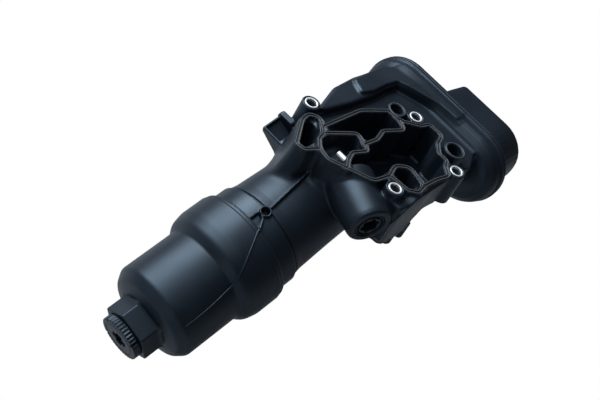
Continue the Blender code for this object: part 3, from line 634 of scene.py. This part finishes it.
def add_ear(field):
    """Ear beside the first boss: body, pocket and flange."""
    ear = ((31, 25, 2), (31, 56, 2), (25.5, 56, 2), (10, 35.5, 2), (10, 25, 2))
    field.join(*EAR_WINDOW, filter_prism(ear, -82, -60, 1.6), 2.5)
    pocket = ((36, 38, 0), (36, 54, 0), (27.8, 54, 2), (21, 39, 2))
    field.cut(*EAR_WINDOW, filter_prism(pocket, -76.5, -62), 0.6)
    flange = ((34, 42, 2), (34, 55, 2), (31, 57, 2), (26, 57, 2), (20, 42, 2))
    field.join(*EAR_WINDOW, filter_prism(flange, -81.5, -76.7), 0.8)


def eyelet_frame(x, y, z):
    """Coordinates on the eyelet's axis: across, along the tube and outwards."""
    up, across, station = filter_frame(x, y, z)
    out = up * math.cos(EYELET_TURN) + across * math.sin(EYELET_TURN)
    side = -up * math.sin(EYELET_TURN) + across * math.cos(EYELET_TURN)
    return side, station - EYELET_STATION, out


def add_collar_details(field):
    """Slanting rib on the tube, shallow recess and eyelet on the collar."""
    slant, slant_from, slant_start = 0.114, -13.8, -2.33

    def rib(x, y, z):
        up, across, station = filter_frame(x, y, z)
        side = np.abs(across - (slant * (slant_from - station) + slant_start)) - RIB_HALF
        depth = np.maximum(up - RIB_TOP, 34 - up)
        return smooth_max(side, np.maximum(depth, np.abs(station - RIB_MIDDLE) - RIB_REACH), 0.5)

    field.join((-114, 12, -60), (-40, 30, -6), rib, 0.8)
    recess_points = ((0, -3.8), (0, 6.5), (-9.6, 6.5), (-6.0, -3.6))
    recess_floor = 38.7

    def recess(x, y, z):
        up, across, station = filter_frame(x, y, z)
        arc = COLLAR_R * np.arctan2(across, up)
        side = polygon_distance(recess_points, arc, station)
        return np.maximum(side, recess_floor - np.hypot(up, across))

    field.cut((-130, 4, -50), (-100, 28, -20), recess, 0.4)

    def eyelet(x, y, z):
        u, v, w = eyelet_frame(x, y, z)
        return smooth_max(np.hypot(u, v) - EYELET_R, np.maximum(w - EYELET_TOP, 36 - w), 0.8)

    field.join(*EYELET_WINDOW, eyelet, 0.8)


def cut_ports(field):
    """Filter chamber, inlet, sleeve seats, ports, outlet and the eyelet's hole."""
    chamber = Table((
        (-30, 32, 0), (34.3, 32, 0), (34.3, 25.5, 0.3), (33.5, 24.5, 0.3), (33.5, -84, 4),
        (28, -88, 3), (-30, -88, 0),
    ))
    field.cut(*TUBE_WINDOW, turned_shape(chamber, filter_frame), 0.6)
    inlet = vertical(outline(INLET_HOLE), -46, 6, 0.2)
    field.cut((-76, 28, -50), (-38, 56, WINDOW_TOP), inlet, 0.8)
    for bx, by in BOLT_AT:
        seat = post(bx, by, SLEEVE_R + SLEEVE_FIT, -72, 6, 0, 0)
        field.cut(*around(bx, by, 9, -72), seat, 0.3)
    for port in PORTS:
        bore = post(port.x, port.y, port.bore, -port.depth, 6, 0, 0)
        field.cut(*around(port.x, port.y, 9, -port.depth - 3), bore, 0.8)
    outlet = round_bore(OUTLET_R, *OUTLET_ENDS, filter_frame)
    field.cut((-34, 8, -58), (0, 32, -30), outlet, 0.5)
    drop = post(*OUTLET_DROP, OUTLET_DROP_R, -46, -20, 0, 0)
    field.cut((-18, 8, -50), (4, 32, -16), drop, 0.8)
    hole = round_bore(EYELET_HOLE_R, EYELET_HOLE_FLOOR, math.inf, eyelet_frame)
    field.cut(*EYELET_WINDOW, hole, 0.4)


def cut_valve_and_cooler(field):
    """Relief valve's bore, the cooler's room and its ways, pin seat, hollow under the floor."""
    bore = Table((
        (-30, 4, 0), (11.7, 4, 0), (11.7, -3.3, 0), (10.2, -3.3, 0), (10.2, -11, 0),
        (9.3, -11.5, 0), (9.3, -33, 0), (4.5, -33, 0), (4.5, -50, 0), (-30, -50, 0),
    ))
    field.cut((-80, -54, -38), (-28, 16, -6), turned_shape(bore, relief_frame), 0.5)
    room = Table((
        (-30, 78, 0), (19, 78, 3), (26, 83, 3), (29.6, 88.3, 2), (30.2, 97, 0), (-30, 97, 0),
    ))
    field.cut((74, -68, -74), (96, 86, 3), stadium_shape(room), 0.6)
    for way_y, low_y, high_y in ((-28.4, -36, -20), (3.0, -6, 12)):
        way = round_bore(
            COOLER_WAY_R, 40, 84, lambda x, y, z, at=way_y: (y - at, z - COOLER_WAY_Z, x)
        )
        field.cut((36, low_y, -36), (86, high_y, -18), way, 0.5)
    pin_seat = round_bore(
        PIN_R + 0.3, 9.7, 22, lambda x, y, z: (x - PIN_AT[0], z - PIN_AT[2], y)
    )
    field.cut((-48, 4, -14), (-36, 26, -6), pin_seat, 0.2)
    hollow = box_shape((19.5, -41, -45), (16.5, 19, 15), 0.5)
    field.cut((0, -62, -62), (39, -19, -27), hollow, 0.6)


def cut_lines(field):
    """Fine lines: rings at the ports, hook beside the first boss, gasket groove, flat face."""
    for port in PORTS:
        line = ring_groove(port.x, port.y, port.line, 0.35, 1.0)
        field.cut(*around(port.x, port.y, 11, -4), line, 0.2)
    hook = rounded(HOOK, False)

    def slot(x, y, z):
        side = path_distance(hook, x[:, :, 0], y[:, :, 0], False)[:, :, None] - 1.0
        return np.maximum(side, -9 - z)

    field.cut((-45, 34, -10), (-12, 60, WINDOW_TOP), slot, 0.3)
    window, x, y, z = field.part(*FACE_WINDOW)
    line = np.minimum.reduce(face_lines(x[:, :, 0], y[:, :, 0]))
    groove = smooth_max(line[:, :, None] - GROOVE_WIDTH / 2, -GROOVE_DEPTH - z, 0)
    field.values[window] = -smooth_min(-field.values[window], groove, 0.5)
    window, x, y, z = field.part((-90, -68, -2), (60, 85, WINDOW_TOP))
    field.values[window] = np.maximum(field.values[window], z)


def housing_field():
    """Build the housing's field: forms first, then cuts."""
    field = Field((-150, -68, -126), (95, 85, WINDOW_TOP), STEP)
    for work_on in (
        add_face, add_bosses, add_shoulder, add_pan, add_tube, add_relief_boss, add_side,
        add_ear, add_collar_details, cut_ports, cut_valve_and_cooler, cut_lines,
    ):
        work_on(field)
    return field


# Other mouldings


def moulded(name, field, node, body, finish, most, place=None):
    """Make a smooth-shaded piece from a field, thinned to a set number of triangles."""
    piece = bpy.data.objects.new(name, field.mesh(name))
    bpy.context.scene.collection.objects.link(piece)
    if place is not None:
        piece.data.transform(place)
    triangles = 2 * len(piece.data.polygons)
    if triangles > most:
        thin = piece.modifiers.new("Thin", "DECIMATE")
        thin.ratio = most / triangles
        graph = bpy.context.evaluated_depsgraph_get()
        mesh = bpy.data.meshes.new_from_object(piece.evaluated_get(graph))
        piece.modifiers.clear()
        old = piece.data
        piece.data = mesh
        bpy.data.meshes.remove(old)
    piece.data.polygons.foreach_set("use_smooth", [True] * len(piece.data.polygons))
    weigh = piece.modifiers.new("Weigh", "WEIGHTED_NORMAL")
    weigh.weight = 50
    weigh.keep_sharp = False
    piece.data.materials.clear()
    piece.data.materials.append(finish)
    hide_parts(node)
    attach(piece, body)


def bowl_field():
    """Build the bowl in the filter's own frame: shell, hex stub with a fillet, drain hole."""
    low, high = (-47, -47, 3), (47, 47, 116)
    field = Field(low, high, STEP)
    shell = Table((
        (-30, 99.3, 0), (24, 98.6, 8), (33.0, 95.6, 6), (38.1, 88.5, 6), (38.1, 43.6, 3),
        (43.4, 37.6, 10), (45.4, 28.5, 14), (45.4, 9.2, 0.4), (44.6, 8.8, 0.2), (44.6, 8.2, 0.2),
        (44.9, 7.9, 0.3), (44.3, 5, 0.9), (42.3, 5, 0.4), (42.3, 27.5, 8), (35.0, 42.5, 8),
        (35.0, 86.5, 8), (31, 92.5, 6), (22, 96.3, 8), (-30, 96.6, 0),
    ))
    field.join(low, high, turned_shape(shell), 0)
    hex_half, hex_corner, hex_end, chamfer = 19.2, 21.8, 114.3, 0.6

    def hexagon(x, y, z):
        side = 0
        for turn in (-17, 43, 103):
            c, s = math.cos(math.radians(turn)), math.sin(math.radians(turn))
            side = smooth_max(side, np.abs(x * c + y * s), 0.6)
        cone = np.hypot(x, y) + (z - hex_end) * chamfer - hex_corner
        corner = smooth_max(side - hex_half, cone, 0.6)
        return smooth_max(corner, np.maximum(z - hex_end, 97 - z), 0.5)

    field.join((-24, -24, 92), (24, 24, 116), hexagon, 3.0)
    field.cut((-12, -12, 90), (12, 12, 116), round_bore(7.3), 0.4)
    return field


def drain_field():
    """Build the drain plug in the filter's own frame: head, stem, socket and notches."""
    field = Field((-20, -20, 96), (20, 20, 122), FINE_STEP)
    low, thick, radius = 114.6, 6, 17.6
    grip_reach, grip_teeth, grip_height = math.radians(46), 40, 0.42

    def head(x, y, z):
        turn = np.arctan2(y, x)
        grip = np.abs(np.cos(turn)) > math.cos(grip_reach)
        rise = np.clip((z - low - 0.6) / 0.4, 0, 1)
        ribs = grip_height * grip * (np.cos(grip_teeth * turn) - 0.6) * rise
        side = (np.hypot(x, y) - radius - ribs) * 0.8
        return smooth_max(side, np.maximum(z - low - thick, low - z), 0.7)

    field.join((-20, -20, 112), (20, 20, 122), head, 0)
    stem = Table((
        (-30, low + 1, 0), (7, low + 1, 0), (7, low - 6.2, 0.2), (5, low - 6.2, 0.2),
        (5, low - 9.2, 0.2), (7, low - 9.2, 0.2), (7, low - 16, 0.3), (6, low - 17, 0.3),
        (-30, low - 17, 0),
    ))
    field.join((-9, -9, 96), (9, 9, 117), turned_shape(stem), 0)
    for half in ((6.5, 2.8, 5), (2.8, 6.5, 5)):
        arm = box_shape((0, 0, low + thick), half, 0.5)
        field.cut((-9, -9, 113), (9, 9, 122), arm, 0.6)
    notch_floor, notch_slope = 14.6, 0.35
    for turn in (50, 130, 230, 310):
        c, s = math.cos(math.radians(turn)), math.sin(math.radians(turn))

        def notch(x, y, z):
            out = x * c + y * s
            side = np.abs(y * c - x * s) - notch_slope * (out - notch_floor)
            return np.maximum(side, notch_floor - out) + 0 * z

        field.cut((-20, -20, 113), (20, 20, 122), notch, 0.3)
    face = box_shape((0, 0, low + thick), (20, 20, 0.5), 0.1)

    def face_line(x, y, z):
        return np.maximum(np.abs(np.hypot(x, y) - 13.4) - 0.5, face(x, y, z))

    field.cut((-20, -20, 118), (20, 20, 122), face_line, 0.4)
    return field


def cover_field():
    """Build the cooler cover: stadium plate, drafted box and its hollow."""
    field = Field((91, -68, -72), (129, 86, 2), STEP)
    plate_end, box_end, wall = 96.6, 128, 2.5
    plate = Table((
        (-30, PARTING + PARTING_GAP, 0), (34.5, PARTING + PARTING_GAP, 0.4), (34.7, 94, 0.6),
        (34.7, 95.6, 0.8), (33.4, plate_end, 1.0), (-30, plate_end, 0),
    ))
    field.join((91, -68, -72), (99, 86, 2), stadium_shape(plate), 0)

    def box(inset, first, last, edge):
        """Drafted box with one end that leans, or its hollow with an inset."""
        points = rounded((
            (24 - inset, -6 - inset, 3.5), (-57 + inset, -6 - inset, 27 - inset),
            (-57 + inset, -64 + inset, 27 - inset), (24 - inset, -64 + inset, 3.5),
        ))

        def shape(x, y, z):
            side = polygon_distance(points, y[0, :, :], z[0, :, :])[None, :, :]
            side = side + DRAFT * (x - box_end)
            lean = np.clip((x - plate_end) / 31.4, -0.1, 1.1)
            sides = smooth_max(side, y - (24 - inset) + 5.0 * lean, 5.0)
            return smooth_max(sides, np.maximum(x - last, first - x), edge)

        return shape

    field.join((94, -62, -68), (129, 28, 0), box(0, 94, box_end, 2.2), 2.0)
    field.cut((91, -60, -66), (129, 26, 0), box(wall, 90, box_end - wall, 1.0), 0.5)
    return field


def plug_field():
    """Build the screw plug in the relief valve's own frame."""
    low, high = (-13, -13, -12), (13, 13, 1)
    field = Field(low, high, FINE_STEP)
    body = Table((
        (-30, -0.5, 0), (10.9, -0.5, 0.5), (11.4, -1.0, 0.3), (11.4, -3, 0), (9.9, -3, 0),
        (9.9, -4, 0), (8.1, -4, 0), (8.1, -6.2, 0), (9.9, -6.2, 0), (9.9, -10, 0.3),
        (-30, -10, 0),
    ))
    field.join(low, high, turned_shape(body), 0)
    star_radius, star_wave, star_points, star_depth = 6.6, 0.9, 6, 7

    def star(x, y, z):
        wave = star_wave * np.cos(star_points * np.arctan2(y, x))
        return np.maximum((np.hypot(x, y) - star_radius - wave) * 0.8, -star_depth - z)

    field.cut((-9, -9, -9), (9, 9, 1), star, 0.5)
    field.cut((-13, -13, -3), (13, 13, 1), ring_groove(0, 0, 9.5, 0.85, 2.6), 0.3)
    return field


def gasket_field():
    """Build the face gasket: strip with two thin ridges in every groove, rings at the ports."""
    field = Field((-80, -50, -2.7), (58, 60, 0.9), FINE_STEP)
    x, y, z = field.part((-90, -60, -5), (60, 70, 5))[1:]
    flat_x, flat_y = x[:, :, 0], y[:, :, 0]
    far = np.minimum.reduce(face_lines(flat_x, flat_y))
    ring = np.full(far.shape, 1e6)
    for port in PORTS:
        out = np.hypot(flat_x - port.x, flat_y - port.y)
        ring = np.minimum(ring, np.abs(out - port.line))
    strip_half, strip_top = 1.45, -1.0
    ridge_at, ridge_half, ridge_top, ridge_low = 1.15, 0.29, -0.1, -0.95
    strip_low = -GROOVE_DEPTH + 0.1
    ridge = np.minimum(np.abs(far - ridge_at), ring)[:, :, None] - ridge_half
    ridge = smooth_max(ridge, np.maximum(z - ridge_top, ridge_low - z), 0.2)
    strip = far[:, :, None] - strip_half
    strip = smooth_max(strip, np.maximum(z - strip_top, strip_low - z), 0.2)
    field.values[:] = smooth_min(strip, ridge, 0.1)
    return field


def shaded_mesh(name, vertices, faces):
    """Closed mesh with its faces outwards, smooth-shaded."""
    mesh = bpy.data.meshes.new(name)
    mesh.from_pydata(vertices, [], faces)
    work = bmesh.new()
    work.from_mesh(mesh)
    bmesh.ops.recalc_face_normals(work, faces=work.faces[:])
    work.to_mesh(mesh)
    work.free()
    mesh.polygons.foreach_set("use_smooth", [True] * len(mesh.polygons))
    return mesh


def eased(points, between=8, passes=12):
    """Points on a smooth line near a row of given ones."""
    fine = []
    for a, b in zip(points, points[1:]):
        fine += [[u + (v - u) * k / between for u, v in zip(a, b)] for k in range(between)]
    fine.append(list(points[-1]))
    for _ in range(passes):
        threes = zip(fine, fine[1:], fine[2:])
        inner = [[(p + 2 * q + r) / 4 for p, q, r in zip(*three)] for three in threes]
        fine = [fine[0]] + inner + [fine[-1]]
    return fine


def strand(name, points, body, steps=12):
    """Thin raised line on the round walls, through (angle, station, radius, half width)."""
    places = []
    for turn, station, radius, half in eased(points):
        angle = math.radians(turn)
        spot = Vector((radius * math.cos(angle), radius * math.sin(angle), station)) * MM
        out = Vector((math.cos(angle), math.sin(angle), 0))
        places.append((FILTER_PLACE @ spot, (FILTER_PLACE.to_3x3() @ out).normalized(), half * MM))
    vertices, faces = [], []
    for i, (spot, out, half) in enumerate(places):
        ahead = places[min(i + 1, len(places) - 1)][0] - places[max(i - 1, 0)][0]
        side = ahead.cross(out).normalized()
        for k in range(steps):
            c, s = math.cos(math.tau * k / steps), math.sin(math.tau * k / steps)
            vertices.append(spot + (side * c + out * s) * half)
    for i in range(len(places) - 1):
        for k in range(steps):
            n = (k + 1) % steps
            here, there = i * steps, (i + 1) * steps
            faces.append((here + k, here + n, there + n, there + k))
    faces.append(tuple(range(steps)))
    faces.append(tuple(range(len(vertices) - 1, len(vertices) - steps - 1, -1)))
    mesh = shaded_mesh(name, vertices, faces)
    piece = bpy.data.objects.new(name, mesh)
    bpy.context.scene.collection.objects.link(piece)
    mesh.materials.append(plastic)
    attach(piece, body)


def lathe(name, corners, place, node, finish, steps=96):
    """Turn a closed outline about a frame's third axis, as a smooth ring."""
    points = rounded(corners)
    count = len(points)
    made = []
    for k in range(steps):
        c, s = math.cos(math.tau * k / steps), math.sin(math.tau * k / steps)
        made += [place @ Vector((r * c * MM, r * s * MM, z * MM)) for r, z in points]
    faces = []
    for k in range(steps):
        n = (k + 1) % steps
        for i in range(count):
            j = (i + 1) % count
            faces.append((k * count + i, k * count + j, n * count + j, n * count + i))
    mesh = shaded_mesh(name, made, faces)
    mesh.set_sharp_from_angle(angle=math.radians(35))
    piece = bpy.data.objects.new(name, mesh)
    bpy.context.scene.collection.objects.link(piece)
    mesh.materials.append(finish)
    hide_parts(node)
    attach(piece, "housing")


# Materials


def new_material(name):
    """Node material, with its nodes and links."""
    made = bpy.data.materials.new(name)
    made.use_nodes = True
    return made, made.node_tree.nodes, made.node_tree.links


def noise(nodes, links, source, scale, detail, rough=0.5):
    """Noise value at a place."""
    texture = nodes.new("ShaderNodeTexNoise")
    texture.inputs["Scale"].default_value = scale
    texture.inputs["Detail"].default_value = detail
    texture.inputs["Roughness"].default_value = rough
    links.new(source, texture.inputs["Vector"])
    return texture.outputs["Fac"]


def spread(nodes, links, value, low, high, from_low=0.3, from_high=0.7):
    """Map a noise value to a range."""
    ranged = nodes.new("ShaderNodeMapRange")
    ranged.inputs["From Min"].default_value = from_low
    ranged.inputs["From Max"].default_value = from_high
    ranged.inputs["To Min"].default_value = low
    ranged.inputs["To Max"].default_value = high
    links.new(value, ranged.inputs["Value"])
    return ranged.outputs["Result"]


BROAD_SCALE = 28.0
GLOSS_SPREAD = (-0.05, 0.06)
BUMP_DISTANCE = 0.0002


def surface(name, color, dark, roughness, metallic=0.0, grain=900.0, bump=0.06, tint=(1, 1, 1)):
    """Principled surface with colour variation, uneven gloss and a fine grain."""
    made, nodes, links = new_material(name)
    shader = nodes["Principled BSDF"]
    place = nodes.new("ShaderNodeTexCoord").outputs["Object"]
    broad = noise(nodes, links, place, BROAD_SCALE, 5.0)
    fine = noise(nodes, links, place, grain, 3.0, 0.6)
    mix = nodes.new("ShaderNodeMix")
    mix.data_type = "RGBA"
    mix.inputs["A"].default_value = (*dark, 1)
    mix.inputs["B"].default_value = (*color, 1)
    links.new(spread(nodes, links, broad, 0.0, 1.0, 0.35, 0.65), mix.inputs["Factor"])
    links.new(mix.outputs["Result"], shader.inputs["Base Color"])
    smoothest, roughest = (roughness + part for part in GLOSS_SPREAD)
    links.new(spread(nodes, links, broad, smoothest, roughest), shader.inputs["Roughness"])
    shader.inputs["Metallic"].default_value = metallic
    shader.inputs["Specular Tint"].default_value = (*tint, 1)
    height = nodes.new("ShaderNodeBump")
    height.inputs["Strength"].default_value = bump
    height.inputs["Distance"].default_value = BUMP_DISTANCE
    links.new(fine, height.inputs["Height"])
    links.new(height.outputs["Normal"], shader.inputs["Normal"])
    return made


def by_height(made, color, full, none):
    """Blend in a colour, all of it at one height of the piece and none of it at another."""
    nodes, links = made.node_tree.nodes, made.node_tree.links
    split = nodes.new("ShaderNodeSeparateXYZ")
    links.new(nodes.new("ShaderNodeTexCoord").outputs["Object"], split.inputs["Vector"])
    mix = nodes.new("ShaderNodeMix")
    mix.data_type = "RGBA"
    share = spread(nodes, links, split.outputs["Z"], 1.0, 0.0, full, none)
    links.new(share, mix.inputs["Factor"])
    base = nodes["Principled BSDF"].inputs["Base Color"]
    links.new(base.links[0].from_socket, mix.inputs["A"])
    mix.inputs["B"].default_value = (*color, 1)
    links.new(mix.outputs["Result"], base)


PLASTIC = (0.0053, 0.0080, 0.0130)
PLASTIC_DARK = (0.0043, 0.0064, 0.0104)
BLUE = (0.58, 0.79, 1.0)
plastic = surface(
    "black_plastic", PLASTIC, PLASTIC_DARK, 0.45, grain=1400, bump=0.05, tint=BLUE
)
bowl_plastic = surface(
    "bowl_plastic", PLASTIC, PLASTIC_DARK, 0.46, grain=1400, bump=0.05, tint=BLUE
)
rubber = surface("black_rubber", (0.02, 0.02, 0.021), (0.014, 0.014, 0.015), 0.62, grain=700)
sleeve_steel = surface(
    "sleeve_steel", (0.80, 0.84, 0.88), (0.74, 0.78, 0.82), 0.5, 0.75, 500, 0.0
)
# From about 1 mm to 2 mm below the face the sleeves go over to a dark blue-grey: painted shade
# down inside the bores.
by_height(sleeve_steel, (0.10, 0.115, 0.135), -0.0022, -0.0009)
bright = surface("bright_steel", (0.86, 0.87, 0.9), (0.8, 0.81, 0.84), 0.35, 0.5, 500, 0.0)
gasket_rubber = surface(
    "gasket_rubber", (0.006, 0.007, 0.009), (0.004, 0.005, 0.007), 0.5, grain=700
)
# The top half millimetre of the gasket's ridges goes over to a lighter blue-grey: a painted
# highlight on the ridges' edges.
by_height(gasket_rubber, (0.060, 0.072, 0.085), -0.0004, -0.0007)
paper = surface("filter_paper", (0.78, 0.64, 0.36), (0.66, 0.52, 0.28), 0.85, 0.0, 300, 0.3)
pale = surface("pale_plastic", (0.5, 0.49, 0.45), (0.42, 0.41, 0.38), 0.5, grain=900)
dark = surface("inner_plastic", (0.05, 0.05, 0.055), (0.035, 0.035, 0.04), 0.45, grain=900)
metal = surface("cooler_metal", (0.7, 0.71, 0.72), (0.55, 0.56, 0.58), 0.33, 1.0, 600, 0.08)
# The solids' own nodes that are shown
FINISHES = {
    "bowl_o_ring": rubber, "drain_plug_seal": rubber, "relief_plug_seal": rubber,
    "cooler_seal_1": rubber, "cooler_seal_2": rubber, "relief_piston": bright,
    "relief_spring": bright, "bypass_disc": bright, "bypass_spring": bright,
    "filter_media": paper, "element_core": pale, "element_top_cap": dark,
    "element_bottom_cap": dark, "standpipe": dark, "cooler_core": metal,
}
for name, made in FINISHES.items():
    for slot in bpy.data.objects[name].material_slots:
        slot.material = made

# Pieces

FILTER_PLACE = Matrix((
    (-math.sin(TILT), 0, -math.cos(TILT), MOUTH[0] * MM),
    (0, 1, 0, MOUTH[1] * MM),
    (math.cos(TILT), 0, -math.sin(TILT), MOUTH[2] * MM),
    (0, 0, 0, 1),
))
RELIEF_PLACE = Matrix((
    (0, math.cos(YAW), -math.sin(YAW), RELIEF_FACE[0] * MM),
    (0, -math.sin(YAW), -math.cos(YAW), RELIEF_FACE[1] * MM),
    (1, 0, 0, RELIEF_FACE[2] * MM),
    (0, 0, 0, 1),
))
moulded("housing_moulding", housing_field(), "housing", "housing", plastic, HOUSING_TRIANGLES)
moulded(
    "bowl_moulding", bowl_field(), "filter_bowl", "bowl", bowl_plastic, BOWL_TRIANGLES,
    FILTER_PLACE,
)
moulded(
    "drain_moulding", drain_field(), "drain_plug", "drain", bowl_plastic, DRAIN_TRIANGLES,
    FILTER_PLACE,
)
moulded("cover_moulding", cover_field(), "cooler_cover", "housing", plastic, COVER_TRIANGLES)
moulded(
    "plug_moulding", plug_field(), "relief_plug", "housing", plastic, PLUG_TRIANGLES, RELIEF_PLACE
)
moulded(
    "gasket_moulding", gasket_field(), "face_gasket", "housing", gasket_rubber, GASKET_TRIANGLES,
)
strand(
    "seam_housing",
    (
        (-5.0, -3.6, 42.6, 1.3), (-8.1, -2.6, 42.4, 1.3), (-11.0, 0.8, 42.6, 1.2),
        (-13.9, 4.5, 44.0, 1.0),
    ),
    "housing",
)
strand(
    "seam_bowl",
    (
        (-14.3, 5.2, 44.5, 1.0), (-15.3, 8.4, 45.2, 0.9), (-20.5, 15.5, 45.5, 0.8),
        (-27.0, 24.3, 45.4, 0.8), (-31.5, 30.0, 45.0, 0.75), (-37.5, 37.0, 43.5, 0.7),
        (-42.5, 41.6, 40.0, 0.65), (-46.5, 52, 38.1, 0.55), (-49.1, 65.3, 38.0, 0.5),
        (-49.9, 76, 38.0, 0.45), (-49.5, 87, 37.9, 0.4),
    ),
    "bowl",
)
for i, (bx, by) in enumerate(BOLT_AT):
    lathe(
        f"sleeve_{i + 1}",
        (
            (SLEEVE_R - 0.05, 0.1, 0.4), (SLEEVE_R - 0.05, -BOSS_LENGTH, 0.3),
            (SLEEVE_BORE_R, -BOSS_LENGTH, 0.3), (SLEEVE_BORE_R, 0.1, 0.4),
        ),
        Matrix.Translation((bx * MM, by * MM, 0)), f"bolt_sleeve_{i + 1}", sleeve_steel,
    )
PIN_PLACE = (
    Matrix.Translation([value * MM for value in PIN_AT]) @ Matrix.Rotation(-math.pi / 2, 4, "X")
)
lathe(
    "pin", ((0.02, 0, 0), (PIN_R, 0, 0.5), (PIN_R, -PIN_LENGTH, 0.2), (0.02, -PIN_LENGTH, 0)),
    PIN_PLACE, "valve_pin", bright,
)

# Camera at the photograph's angle, studio and light
CAMERA_AT = (-0.65449, -0.20852, 0.52933)
CAMERA_AXES = (
    (0.6325, -0.6746, 0.3807),
    (0.3553, 0.6893, 0.6313),
    (-0.6883, -0.2641, 0.6756),
)
CAMERA_LENS = 69.0
CAMERA_SENSOR = 36.0
FLOOR_Z = -0.2
FLOOR_HALF = 2.5
FLOOR_COLOR = (0.36, 0.38, 0.40)
WORLD_COLOR = (0.93, 0.96, 1.0)
WORLD_STRENGTH = 0.08
LIGHT_COLOR = (0.93, 0.97, 1.0)
camera_data = bpy.data.cameras.new("camera")
camera_data.lens = CAMERA_LENS
camera_data.sensor_width = CAMERA_SENSOR
camera = bpy.data.objects.new("camera", camera_data)
bpy.context.scene.collection.objects.link(camera)
placed = Matrix(CAMERA_AXES).transposed().to_4x4()
placed.translation = CAMERA_AT
camera.matrix_world = placed
bpy.context.scene.camera = camera


def white_for_camera(nodes, links, shader_out, plain):
    """Mix that shows the given shader to camera and transmission rays, and the plain one else."""
    path = nodes.new("ShaderNodeLightPath")
    seen = nodes.new("ShaderNodeMath")
    seen.operation = "MAXIMUM"
    links.new(path.outputs["Is Camera Ray"], seen.inputs[0])
    links.new(path.outputs["Is Transmission Ray"], seen.inputs[1])
    mix = nodes.new("ShaderNodeMixShader")
    links.new(seen.outputs[0], mix.inputs["Fac"])
    links.new(plain, mix.inputs[1])
    links.new(shader_out, mix.inputs[2])
    return mix.outputs[0]


world = bpy.data.worlds.new("studio")
bpy.context.scene.world = world
world.use_nodes = True
nodes, links = world.node_tree.nodes, world.node_tree.links
nodes.clear()
soft = nodes.new("ShaderNodeBackground")
soft.inputs["Color"].default_value = (*WORLD_COLOR, 1)
soft.inputs["Strength"].default_value = WORLD_STRENGTH
white = nodes.new("ShaderNodeBackground")
white.inputs["Color"].default_value = (1, 1, 1, 1)
white.inputs["Strength"].default_value = 1.0
out = nodes.new("ShaderNodeOutputWorld")
links.new(white_for_camera(nodes, links, white.outputs[0], soft.outputs[0]), out.inputs["Surface"])

floor_mesh = bpy.data.meshes.new("floor")
work = bmesh.new()
bmesh.ops.create_grid(work, x_segments=1, y_segments=1, size=FLOOR_HALF)
bmesh.ops.translate(work, verts=work.verts[:], vec=(0, 0, FLOOR_Z))
work.to_mesh(floor_mesh)
work.free()
floor = bpy.data.objects.new("floor", floor_mesh)
bpy.context.scene.collection.objects.link(floor)
made, nodes, links = new_material("floor")
glow = nodes.new("ShaderNodeEmission")
glow.inputs["Color"].default_value = (1, 1, 1, 1)
glow.inputs["Strength"].default_value = 1.0
shader = nodes["Principled BSDF"]
shader.inputs["Base Color"].default_value = (*FLOOR_COLOR, 1)
shader.inputs["Roughness"].default_value = 0.9
links.new(
    white_for_camera(nodes, links, glow.outputs[0], shader.outputs[0]),
    nodes["Material Output"].inputs["Surface"],
)
floor_mesh.materials.append(made)


def area(name, at, look, size, power):
    """Soft rectangular light looking at a point."""
    data = bpy.data.lights.new(name, "AREA")
    data.shape = "RECTANGLE"
    data.size, data.size_y = size
    data.energy = power
    data.color = LIGHT_COLOR
    light = bpy.data.objects.new(name, data)
    bpy.context.scene.collection.objects.link(light)
    light.location = at
    aim = Vector(look) - Vector(at)
    light.rotation_euler = aim.to_track_quat("-Z", "Y").to_euler()


area("key", (-0.08, 0.82, 0.84), (-0.06, 0.02, -0.05), (1.1, 0.8), 30.0)
area("top", (-0.5, 0.1, 1.0), (-0.05, 0, -0.04), (0.8, 0.8), 2.5)
area("end", (-1.0, -0.3, 0.1), (-0.1, 0, -0.06), (0.6, 0.6), 0.7)
bpy.context.scene.view_settings.view_transform = "Standard"
